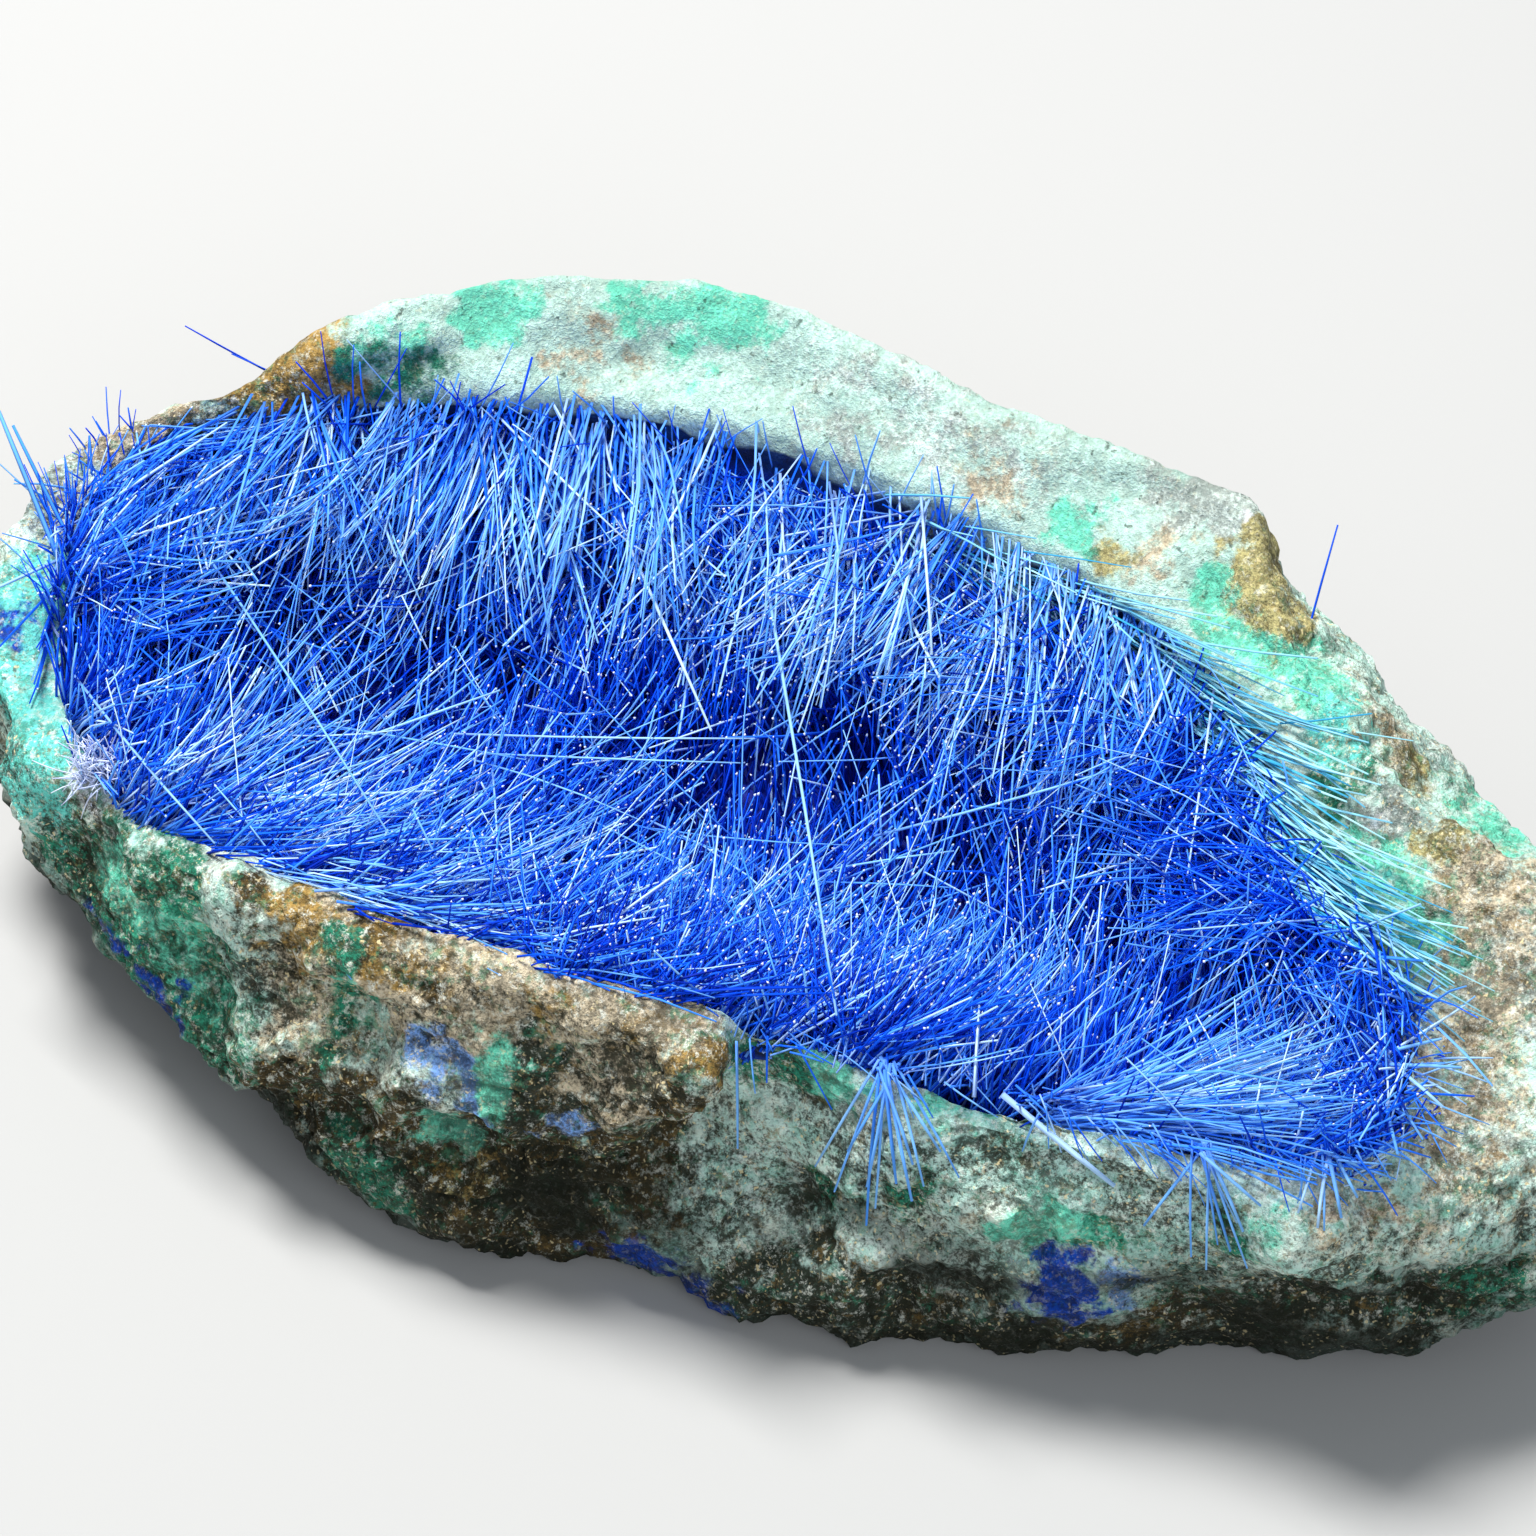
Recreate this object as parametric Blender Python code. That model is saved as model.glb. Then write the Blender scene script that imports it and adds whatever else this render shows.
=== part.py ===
"""Azurite specimen: a broken piece of host rock whose long hollow is lined with needle crystals.

Two pieces. The rock is one stone with a lens-shaped hollow in its top. The crust is the mass of
needle crystals that grew in that hollow, one body of tufts and spines. Metres, +Z up. The origin is
under the middle of the specimen, on the surface that it rests on; +X runs along the stone, -Y is
the side where the rim is thin.
"""

import math
import random

import bmesh
import bpy
from mathutils import Matrix, Vector, geometry, noise

MM = 0.001

# The stone's outline, in millimetres, one row for each station around it, counter-clockwise from
# the blunt end at +X. A row holds the inner rim of the hollow, the outer crest of the wall, the
# flank, the skirt below it, and the foot (x, y) where the stone turns under onto its flat seat.
STATIONS = [
    # blunt end
    ((28.0, -5.5, 12.5), (35.0, -3.0, 11.5), (37.0, -1.5, 7.0), (35.0, -1.0, 3.0), (29.0, -1.5)),
    ((26.5, -2.0, 13.0), (33.0, 1.0, 14.0), (35.5, 3.5, 8.5), (33.5, 4.0, 3.5), (27.5, 2.0)),
    # broad sloping shoulder of the far wall, with the step at x = 20
    ((23.5, 0.5, 13.5), (28.5, 3.8, 15.6), (31.5, 8.0, 10.0), (29.5, 8.0, 4.0), (24.0, 4.5)),
    ((20.0, 3.5, 13.5), (23.6, 5.3, 16.0), (27.5, 10.5, 10.0), (25.5, 11.0, 4.0), (20.0, 7.0)),
    ((17.0, 7.0, 14.0), (20.0, 8.3, 16.0), (23.0, 13.5, 10.0), (21.5, 13.5, 4.0), (16.5, 9.0)),
    ((12.5, 10.5, 14.5), (16.0, 11.6, 16.5), (18.5, 16.5, 10.5), (17.0, 16.0, 4.0), (12.5, 10.5)),
    ((9.5, 11.5, 15.0), (12.8, 15.7, 17.4), (13.5, 18.5, 11.0), (12.0, 17.5, 4.0), (9.0, 11.5)),
    ((6.0, 12.5, 15.0), (7.5, 16.0, 17.6), (8.5, 18.7, 11.0), (7.0, 17.5, 4.0), (5.5, 12.0)),
    ((1.0, 13.0, 15.5), (1.5, 16.7, 17.8), (2.0, 19.4, 11.5), (1.5, 18.0, 4.5), (1.0, 12.5)),
    ((-5.0, 13.4, 15.5), (-4.5, 17.3, 18.2), (-4.5, 19.8, 12.0), (-4.5, 18.5, 5.0), (-4.0, 12.5)),
    ((-9.5, 13.2, 15.5), (-9.0, 17.5, 18.5), (-9.0, 19.5, 12.0), (-9.0, 18.0, 5.0), (-8.5, 12.0)),
    ((-13.0, 12.5, 15.5), (-13.5, 16.3, 18.5), (-14.0, 18.5, 12.0), (-13.5, 16.5, 5.0), (-12.5, 11.0)),
    ((-17.5, 11.0, 15.5), (-18.5, 14.2, 18.0), (-19.0, 16.5, 11.5), (-18.0, 14.5, 5.0), (-16.0, 9.5)),
    ((-22.0, 9.3, 15.0), (-22.5, 11.0, 17.5), (-23.5, 13.5, 11.0), (-22.0, 11.5, 5.0), (-19.0, 7.5)),
    # narrow end at -X: a low lip, then a thin rounded wall
    ((-25.5, 7.0, 14.5), (-26.3, 8.2, 16.0), (-28.0, 10.0, 10.5), (-25.5, 8.5, 5.0), (-21.0, 5.5)),
    ((-28.0, 4.8, 14.0), (-29.2, 5.2, 15.2), (-31.0, 6.5, 10.0), (-28.0, 5.5, 5.0), (-22.5, 3.5)),
    ((-29.3, 1.0, 14.0), (-31.2, 1.0, 14.5), (-32.5, 1.5, 9.5), (-30.0, 1.0, 5.0), (-23.5, 1.0)),
    ((-28.0, -4.0, 13.5), (-30.6, -4.5, 13.8), (-31.8, -4.5, 9.5), (-30.0, -5.0, 5.0), (-23.5, -2.0)),
    ((-26.0, -7.5, 13.0), (-28.5, -8.5, 12.8), (-29.6, -9.3, 8.5), (-27.6, -9.9, 5.0), (-21.5, -5.0)),
    ((-23.3, -10.8, 13.0), (-25.0, -11.8, 12.5), (-25.6, -12.4, 8.5), (-24.0, -12.7, 5.2), (-18.0, -7.5)),
    ((-19.5, -13.2, 13.0), (-20.3, -14.2, 12.5), (-20.6, -14.4, 8.0), (-18.9, -14.5, 4.7), (-14.0, -9.5)),
    # upright arris, then the lobe of the near wall
    ((-15.6, -14.0, 13.5), (-15.8, -15.0, 13.2), (-14.8, -15.6, 8.0), (-12.8, -18.0, 4.4), (-9.5, -12.0)),
    ((-10.5, -14.6, 14.0), (-10.6, -15.7, 13.6), (-9.5, -17.8, 7.5), (-9.0, -18.5, 2.4), (-6.0, -13.5)),
    ((-5.0, -14.9, 14.0), (-5.0, -16.0, 13.6), (-5.0, -18.0, 7.2), (-5.5, -18.2, 1.8), (-2.5, -13.5)),
    ((0.0, -14.4, 14.0), (0.0, -15.6, 13.6), (-0.5, -17.4, 7.6), (0.0, -17.3, 1.3), (2.0, -13.5)),
    ((4.8, -13.5, 13.5), (4.8, -15.2, 13.0), (3.8, -16.2, 9.4), (4.5, -16.0, 1.1), (5.5, -13.0)),
    # notch beside the lobe, then the long grey-green bulge
    ((7.6, -12.9, 12.8), (7.4, -13.3, 12.4), (6.8, -13.0, 9.0), (8.0, -15.6, 1.0), (8.5, -13.0)),
    ((12.0, -12.6, 12.2), (12.0, -13.6, 11.8), (12.0, -14.6, 7.0), (12.2, -14.9, 0.8), (12.5, -12.8)),
    ((17.5, -11.8, 12.2), (17.5, -12.8, 11.8), (17.3, -13.8, 6.8), (17.4, -13.7, 0.8), (17.5, -12.0)),
    ((23.0, -11.1, 12.2), (23.5, -12.2, 11.2), (23.0, -12.0, 6.4), (22.2, -11.0, 1.2), (21.5, -9.2)),
    ((27.0, -9.6, 12.4), (29.5, -10.6, 10.4), (29.3, -9.4, 6.4), (28.2, -8.4, 1.2), (26.0, -7.0)),
    ((28.2, -7.6, 12.5), (33.2, -7.2, 10.0), (34.2, -6.0, 6.4), (32.4, -5.2, 2.0), (28.5, -4.5)),
]
POINTS_PER_STATION = 3

# Rows of faces between the five outlines, from the foot up to the inner rim.
ROWS_FOOT_TO_SKIRT = 3
ROWS_SKIRT_TO_FLANK = 4
ROWS_FLANK_TO_CREST = 4
ROWS_CREST_TO_RIM = 3

# The hollow is a bowl with a quarter-ellipse section from the rim to a flat floor.
HOLLOW_ANGLES = (11, 24, 37, 50, 63, 76)
HOLLOW_FLOOR = 4.6
HOLLOW_REACH = 0.60
SPINE_Y = ((-20.0, -0.8), (0.0, -0.8), (18.0, -3.2))

# Broken faces right across the stone: azimuth and elevation of each face's outward direction, and
# how deep it cuts.
FRACTURES = [
    (62, 8, 2.2), (88, -8, 1.6), (112, -14, 2.6), (140, 12, 2.4), (168, -10, 1.6),
    (20, 4, 2.4), (38, -22, 2.4), (-8, -6, 1.4), (75, -30, 2.6), (128, -34, 2.2),
]

# Smaller broken faces: a point on each, the azimuth and elevation it faces, and its reach.
FACETS = [
    # step at the end of the far wall's ridge, and the hollowed ledge below it
    ((16.6, 11.4, 16.2), (38, 34), 4.0),
    ((24.6, 6.0, 15.0), (64, 30), 5.0),
    # left of the arris, the arris' own faces, and the lobe's face and underside
    ((-20.6, -14.0, 9.4), (238, 4), 6.0),
    ((-26.6, -10.6, 8.6), (222, 2), 5.0),
    ((-12.6, -16.4, 9.6), (262, 22), 3.6),
    ((-5.0, -17.0, 10.2), (266, 24), 5.0),
    ((0.5, -16.6, 10.6), (276, 14), 3.2),
    ((-9.0, -18.0, 4.6), (258, -22), 5.0),
    ((1.0, -16.8, 4.0), (278, -18), 5.0),
    # upper slope and lower edge of the grey-green bulge
    ((12.0, -14.5, 10.2), (272, 34), 3.6),
    ((18.0, -13.9, 9.8), (280, 26), 4.4),
    ((15.0, -14.2, 4.0), (276, -12), 5.0),
    ((25.4, -10.6, 4.2), (292, -24), 5.0),
    # shoulder and corner of the blunt end
    ((32.0, -8.6, 8.2), (312, 30), 4.6),
    ((35.4, 0.8, 10.0), (8, 30), 4.6),
]

FACET_EDGE = 4.0

# Relief of the broken surface: swells, chipped facets and lumps. It fades on the rim and crest.
SWELL_SIZE = 11.0
SWELL_HEIGHT = 0.8
CHIP_SIZE = 6.0
CHIP_HEIGHT = 1.5
LUMP_SIZE = 2.8
LUMP_HEIGHT = 0.5
CHIP_STEP = 0.6
CREST_RELIEF = 0.45
HOLLOW_RELIEF = 0.3

# The crust of needle crystals. Its tufts stand closely and reach a top that sags a little in the
# middle, rises towards the rim, most at the narrow end, and stays below the far wall's rim.
GAP = 0.35
CRUST_EDGE_ROW = 1
TUFT_SPACING = 1.85
TUFT_SCATTER = 0.3
TUFT_CLEARANCE = 0.95
CRUST_TOP = 13.3
CRUST_SAG = 0.7
SAG_REACH = (20.0, 9.0)
SAG_MIDDLE_Y = -1.0
THIN_SIDE_RISE = 0.8
THIN_SIDE_FROM = 5.0
THIN_SIDE_REACH = 8.0
FAR_SIDE_RISE = 0.9
FAR_SIDE_FROM = 5.0
FAR_SIDE_REACH = 5.0
NARROW_END_RISE = 1.3
NARROW_END_FROM = 17.0
NARROW_END_REACH = 10.0
TUFT_MEAN = 1.9
TUFT_LENGTH = (1.4, 2.6)
TUFT_LEAN = 0.16
EDGE_TUFT_SHARE = 0.5
SPINE_LENGTH = (2.6, 4.6)
SPINE_COUNT = 84
SPINE_ROOT_SHARE = 0.34
SPINE_ROOT_RISE = 0.9
SPRAY_ROOT_SHARE = 0.36
GROWTH_TILT_X = 0.016
GROWTH_TILT_Y = 0.05
CRYSTAL_SEED = 16

# Crystals that lean out over the thin side of the rim: where each rises above the rim, and its end.
SPRAYS = [
    ((8.8, -12.2, 14.2), (7.6, -16.4, 12.0)),
    ((10.6, -12.1, 14.4), (10.4, -17.0, 11.4)),
    ((12.4, -12.0, 14.2), (13.2, -16.2, 11.6)),
    ((20.6, -10.9, 13.8), (20.2, -14.6, 11.4)),
    ((23.2, -11.3, 14.0), (24.0, -14.6, 11.4)),
    ((25.4, -9.8, 13.8), (27.0, -13.2, 11.2)),
    ((-20.6, -12.2, 14.8), (-22.8, -15.2, 14.4)),
]


def clear_scene():
    for item in list(bpy.data.objects):
        bpy.data.objects.remove(item, do_unlink=True)


def material(name, colour, roughness):
    made = bpy.data.materials.new(name)
    made.use_nodes = True
    shader = made.node_tree.nodes["Principled BSDF"]
    shader.inputs["Base Color"].default_value = (*colour, 1.0)
    shader.inputs["Roughness"].default_value = roughness
    return made


def catmull_rom(before, start, end, after, t):
    """The point at t, from 0 to 1, on the smooth curve that runs from start to end."""
    return 0.5 * (
        2.0 * start
        + (end - before) * t
        + (2.0 * before - 5.0 * start + 4.0 * end - after) * t * t
        + (3.0 * start - before - 3.0 * end + after) * t ** 3
    )


def smooth_loop(points):
    """A closed smooth loop through the stations' points."""
    count = len(points)
    loop = []
    for i in range(count):
        around = [points[(i + step) % count] for step in (-1, 0, 1, 2)]
        for k in range(POINTS_PER_STATION):
            loop.append(catmull_rom(*around, k / POINTS_PER_STATION))
    return loop


def outlines():
    """The five loops around the stone, from the inner rim down to the foot."""
    loops = []
    for level in range(5):
        points = []
        for station in STATIONS:
            place = station[level]
            height = place[2] if len(place) == 3 else 0.0
            points.append(Vector((place[0], place[1], height)))
        loops.append(smooth_loop(points))
    return loops


def wall_rings(loops):
    """Rings of the outer wall, from the foot up to the crest."""
    _, crest, flank, skirt, foot = loops
    below_foot = [a + (a - b) * 0.5 for a, b in zip(foot, skirt)]
    above_crest = [a + (a - b) * 0.5 for a, b in zip(crest, flank)]
    stack = [below_foot, foot, skirt, flank, crest, above_crest]
    rings = []
    for span, rows in enumerate((ROWS_FOOT_TO_SKIRT, ROWS_SKIRT_TO_FLANK, ROWS_FLANK_TO_CREST)):
        four = stack[span:span + 4]
        for row in range(rows):
            rings.append([catmull_rom(*points, row / rows) for points in zip(*four)])
    rings.append([point.copy() for point in crest])
    return rings


def top_rings(crest, rim):
    """Rings across the top of the wall, from inside the crest to the rim of the hollow."""
    rings = []
    for row in range(1, ROWS_CREST_TO_RIM + 1):
        rings.append([a.lerp(b, row / ROWS_CREST_TO_RIM) for a, b in zip(crest, rim)])
    return rings


def spine_point(x):
    """The line along the middle of the hollow's floor."""
    for (x0, y0), (x1, y1) in zip(SPINE_Y, SPINE_Y[1:]):
        if x <= x1:
            break
    t = min(max((x - x0) / (x1 - x0), 0.0), 1.0)
    return Vector((x, y0 + (y1 - y0) * t, HOLLOW_FLOOR))


def hollow_rings(rim):
    """Rings from just below the inner rim down to the floor of the hollow."""
    rings = []
    for angle in HOLLOW_ANGLES:
        inward = 1.0 - math.cos(math.radians(angle))
        depth = math.sin(math.radians(angle))
        ring = []
        for point in rim:
            middle = spine_point(point.x * HOLLOW_REACH)
            place = point.lerp(middle, inward)
            place.z = point.z + (HOLLOW_FLOOR - point.z) * depth
            ring.append(place)
        rings.append(ring)
    for point in rings[-1]:
        point.z = HOLLOW_FLOOR
    return rings


def direction_of(azimuth, elevation):
    a = math.radians(azimuth)
    e = math.radians(elevation)
    return Vector((math.cos(a) * math.cos(e), math.sin(a) * math.cos(e), math.sin(e)))


def break_faces(points):
    """Flatten the stone's outside where it broke along planes."""
    for azimuth, elevation, depth in FRACTURES:
        out = direction_of(azimuth, elevation)
        limit = max(out.dot(point) for point in points) - depth
        for point in points:
            over = out.dot(point) - limit
            if over > 0.0:
                point -= out * over


def chip_faces(points):
    """Flatten the stone within the reach of each small broken face."""
    for place, facing, reach in FACETS:
        centre = Vector(place)
        out = direction_of(*facing)
        for point in points:
            near = 1.0 - (point - centre).length / reach
            over = out.dot(point - centre)
            if near > 0.0 and over > 0.0:
                point -= out * over * min(1.0, FACET_EDGE * near)


def cell_tilt(cell):
    """A direction that is the same all over one chipped facet."""
    return Vector([noise.noise(cell * 7.3 + Vector((k, 2.0 * k, 0.0))) for k in (1.7, 5.3, 8.9)])


def relief(point):
    """Height of the broken surface over the plain form: swells, chipped facets and lumps."""
    swell = noise.noise(point / SWELL_SIZE) * SWELL_HEIGHT
    cell = noise.voronoi(point / CHIP_SIZE)[1][0]
    tilt = cell_tilt(cell)
    chip = tilt.dot(point / CHIP_SIZE - cell) * CHIP_HEIGHT + noise.noise(cell * 5.1) * CHIP_STEP
    lump = noise.noise(point / LUMP_SIZE + Vector((9.0, 4.0, 2.0))) * LUMP_HEIGHT
    return swell + chip + lump


def roughen(stone, rows, shares):
    """Move the stone's points along their normals by each row's share of the relief."""
    stone.normal_update()
    moves = []
    for row, share in zip(rows, shares):
        moves += [(v, v.normal * relief(v.co) * share) for v in row if share > 0.0]
    for vertex, move in moves:
        vertex.co += move


def skin(shell, rings):
    """Faces between neighbouring rings, in order, with a face to close each end."""
    rows = [[shell.verts.new(point) for point in ring] for ring in rings]
    for low, high in zip(rows, rows[1:]):
        count = len(low)
        for i in range(count):
            j = (i + 1) % count
            shell.faces.new((low[i], low[j], high[j], high[i]))
    return rows


def finished_mesh(name, shell):
    bmesh.ops.triangulate(shell, faces=shell.faces[:])
    bmesh.ops.recalc_face_normals(shell, faces=shell.faces[:])
    if shell.calc_volume(signed=True) < 0.0:
        bmesh.ops.reverse_faces(shell, faces=shell.faces[:])
    mesh = bpy.data.meshes.new(name)
    shell.to_mesh(mesh)
    shell.free()
    return mesh


def make_rock():
    """The host rock. Returns its mesh and the points of the hollow's rings, in order."""
    loops = outlines()
    rings = wall_rings(loops)
    crest_row = len(rings) - 1
    rim_row = crest_row + ROWS_CREST_TO_RIM
    wall = [point for ring in rings[1:] for point in ring]
    break_faces(wall)
    chip_faces(wall)
    rings += top_rings(rings[crest_row], loops[0])
    rings += hollow_rings(loops[0])
    shell = bmesh.new()
    rows = skin(shell, rings)
    shell.faces.new(list(reversed(rows[0])))
    shell.faces.new(rows[-1])
    bmesh.ops.recalc_face_normals(shell, faces=shell.faces[:])
    shares = [1.0] * len(rows)
    shares[0] = 0.0
    shares[crest_row:rim_row] = [CREST_RELIEF] * ROWS_CREST_TO_RIM
    shares[rim_row:] = [HOLLOW_RELIEF] * (len(rows) - rim_row)
    shares[-1] = 0.0
    roughen(shell, rows, shares)
    for vertex in shell.verts:
        vertex.co.z = max(vertex.co.z, 0.0)
    shell.normal_update()
    hollow = [[(v.co.copy(), v.normal.copy()) for v in row] for row in rows[rim_row:]]
    return finished_mesh("matrix_rock", shell), hollow


def crust_level(x, y):
    """Height of the crust between the tufts."""
    middle = math.exp(-((x / SAG_REACH[0]) ** 2 + ((y - SAG_MIDDLE_Y) / SAG_REACH[1]) ** 2))
    thin_side = min(max((-y - THIN_SIDE_FROM) / THIN_SIDE_REACH, 0.0), 1.0)
    far_side = min(max((y - FAR_SIDE_FROM) / FAR_SIDE_REACH, 0.0), 1.0)
    narrow_end = min(max((-x - NARROW_END_FROM) / NARROW_END_REACH, 0.0), 1.0)
    rise = THIN_SIDE_RISE * thin_side + FAR_SIDE_RISE * far_side + NARROW_END_RISE * narrow_end
    return CRUST_TOP - CRUST_SAG * middle + rise - TUFT_MEAN


def growth(x, y):
    """Direction in which the crystals grow: away from the nearest wall and up."""
    return Vector((-GROWTH_TILT_X * x, -GROWTH_TILT_Y * (y - SAG_MIDDLE_Y), 1.0)).normalized()


def tuft_points(edge, rng):
    """Points spread over the crust's top, a little irregular, clear of its edge."""
    outline = [Vector((point.x, point.y)) for point in edge]
    low_x = min(p.x for p in outline)
    high_x = max(p.x for p in outline)
    low_y = min(p.y for p in outline)
    high_y = max(p.y for p in outline)
    row_step = TUFT_SPACING * math.sqrt(3.0) / 2.0
    points = []
    for row in range(int((high_y - low_y) / row_step) + 1):
        for column in range(int((high_x - low_x) / TUFT_SPACING) + 1):
            x = low_x + (column + 0.5 * (row % 2)) * TUFT_SPACING
            x += rng.uniform(-TUFT_SCATTER, TUFT_SCATTER)
            y = low_y + row * row_step + rng.uniform(-TUFT_SCATTER, TUFT_SCATTER)
            place = Vector((x, y))
            if inside(place, outline) and min((place - p).length for p in outline) > TUFT_CLEARANCE:
                points.append(place)
    return points


def inside(place, outline):
    """Whether a point lies inside a closed outline."""
    crossings = 0
    for a, b in zip(outline, outline[1:] + outline[:1]):
        if (a.y > place.y) != (b.y > place.y):
            x = a.x + (place.y - a.y) * (b.x - a.x) / (b.y - a.y)
            crossings += x > place.x
    return crossings % 2 == 1


def grow_tuft(shell, corners, length, direction):
    """Raise one face of the crust into a pointed tuft."""
    middle = sum((v.co for v in corners), Vector()) / 3.0
    tip = shell.verts.new(middle + direction * length)
    for a, b in zip(corners, corners[1:] + corners[:1]):
        shell.faces.new((a, b, tip))


def grow_spine(shell, corners, length, direction):
    """Raise one face of the crust into a slim long crystal on a broader root."""
    middle = sum((v.co for v in corners), Vector()) / 3.0
    root = [shell.verts.new(middle.lerp(v.co, SPINE_ROOT_SHARE) + direction * SPINE_ROOT_RISE) for v in corners]
    for i in range(3):
        j = (i + 1) % 3
        shell.faces.new((corners[i], corners[j], root[j], root[i]))
    grow_tuft(shell, root, length, direction)


def spray_faces(middles):
    """The face of the crust that each crystal of SPRAYS grows from, with its height and end."""
    chosen = {}
    for root, end in SPRAYS:
        place = Vector(root)
        free = [i for i in range(len(middles)) if i not in chosen]
        number = min(free, key=lambda i: (middles[i].xy - place.xy).length)
        chosen[number] = (place.z, Vector(end))
    return chosen


def grow_over_rim(shell, corners, height, end):
    """Raise one face of the crust above the rim, then out over it to a point."""
    middle = sum((v.co for v in corners), Vector()) / 3.0
    lift = Vector((0.0, 0.0, height - middle.z))
    root = [shell.verts.new(middle.lerp(v.co, SPRAY_ROOT_SHARE) + lift) for v in corners]
    for i in range(3):
        j = (i + 1) % 3
        shell.faces.new((corners[i], corners[j], root[j], root[i]))
    tip = shell.verts.new(end)
    for a, b in zip(root, root[1:] + root[:1]):
        shell.faces.new((a, b, tip))


def make_crust(hollow):
    """The crust of crystals: an underside that follows the hollow, and a top of tufts and spines."""
    rng = random.Random(CRYSTAL_SEED)
    rings = [[place + normal * GAP for place, normal in ring] for ring in hollow[CRUST_EDGE_ROW:]]
    for point in rings[-1]:
        point.z = HOLLOW_FLOOR + GAP
    edge = rings[0]
    shell = bmesh.new()
    rows = skin(shell, rings)
    shell.faces.new(rows[-1])
    inner = tuft_points(edge, rng)
    flat = [Vector((p.x, p.y)) for p in edge] + inner
    count = len(edge)
    border = [(i, (i + 1) % count) for i in range(count)]
    places, _, faces, _, _, _ = geometry.delaunay_2d_cdt(flat, border, [list(range(count))], 1, 1e-6)
    top = rows[0] + [shell.verts.new((p.x, p.y, crust_level(p.x, p.y))) for p in places[count:]]
    spines = set(rng.sample(range(len(faces)), SPINE_COUNT))
    middles = [sum((top[i].co for i in face), Vector()) / 3.0 for face in faces]
    sprays = spray_faces(middles)
    for number, face in enumerate(faces):
        corners = [top[i] for i in face]
        middle = middles[number]
        lean = Vector((rng.uniform(-TUFT_LEAN, TUFT_LEAN), rng.uniform(-TUFT_LEAN, TUFT_LEAN), 0.0))
        direction = (growth(middle.x, middle.y) + lean).normalized()
        at_edge = any(i < count for i in face)
        if number in sprays:
            grow_over_rim(shell, corners, *sprays[number])
        elif number in spines and not at_edge:
            grow_spine(shell, corners, rng.uniform(*SPINE_LENGTH), direction)
        else:
            length = rng.uniform(*TUFT_LENGTH) * (EDGE_TUFT_SHARE if at_edge else 1.0)
            grow_tuft(shell, corners, length, direction)
    return finished_mesh("needle_crust", shell)


def place_pieces(meshes):
    """Scale to metres and bring the origin under the middle of the specimen."""
    corners = [vertex.co for mesh in meshes for vertex in mesh.vertices]
    middle_x = (min(c.x for c in corners) + max(c.x for c in corners)) / 2.0
    middle_y = (min(c.y for c in corners) + max(c.y for c in corners)) / 2.0
    for mesh in meshes:
        mesh.transform(Matrix.Scale(MM, 4) @ Matrix.Translation((-middle_x, -middle_y, 0.0)))


def add_object(mesh, look):
    made = bpy.data.objects.new(mesh.name, mesh)
    mesh.materials.append(look)
    bpy.context.scene.collection.objects.link(made)


def main():
    clear_scene()
    rock, hollow = make_rock()
    crust = make_crust(hollow)
    place_pieces([rock, crust])
    add_object(rock, material("copper_stained_rock", (0.30, 0.38, 0.32), 0.85))
    add_object(crust, material("azurite_needles", (0.02, 0.10, 0.72), 0.35))


main()
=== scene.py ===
"""Looks of the azurite specimen: the stained host rock and the mat of hair-thin blue crystals.

Lengths are in millimetres in the row frame until a mesh is made, where MM turns them into metres.
Places that were read off the photograph are pixels of its 1536-pixel square, and `seen_at` turns
them into points on the rock.
"""

import math

import bmesh
import bpy
import numpy as np
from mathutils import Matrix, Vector, noise
from mathutils.bvhtree import BVHTree

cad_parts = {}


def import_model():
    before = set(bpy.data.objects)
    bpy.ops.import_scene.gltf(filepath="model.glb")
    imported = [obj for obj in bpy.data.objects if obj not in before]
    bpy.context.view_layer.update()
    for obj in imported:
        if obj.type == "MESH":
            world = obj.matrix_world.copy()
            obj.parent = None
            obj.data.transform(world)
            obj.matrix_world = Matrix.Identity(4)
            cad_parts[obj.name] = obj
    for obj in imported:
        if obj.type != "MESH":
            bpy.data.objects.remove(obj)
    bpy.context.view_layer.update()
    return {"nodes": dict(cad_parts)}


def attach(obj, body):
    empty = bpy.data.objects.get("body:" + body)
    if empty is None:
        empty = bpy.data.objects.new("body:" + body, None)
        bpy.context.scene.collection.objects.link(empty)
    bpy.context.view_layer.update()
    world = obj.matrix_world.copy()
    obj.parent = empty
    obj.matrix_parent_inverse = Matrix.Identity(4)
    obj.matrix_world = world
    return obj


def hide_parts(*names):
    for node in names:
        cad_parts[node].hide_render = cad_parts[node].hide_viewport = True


MM = 0.001

# The camera: it looks down at the stone from 25 degrees round to its near side.
PICTURE = 1536
CAMERA_AZIMUTH = 25.0
CAMERA_ELEVATION = 45.0
CAMERA_DISTANCE = 260.0
CAMERA_SPAN = 58.0
CAMERA_TARGET = Vector((-1.973, -0.362, 12.0))
SENSOR = 36.0

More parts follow.
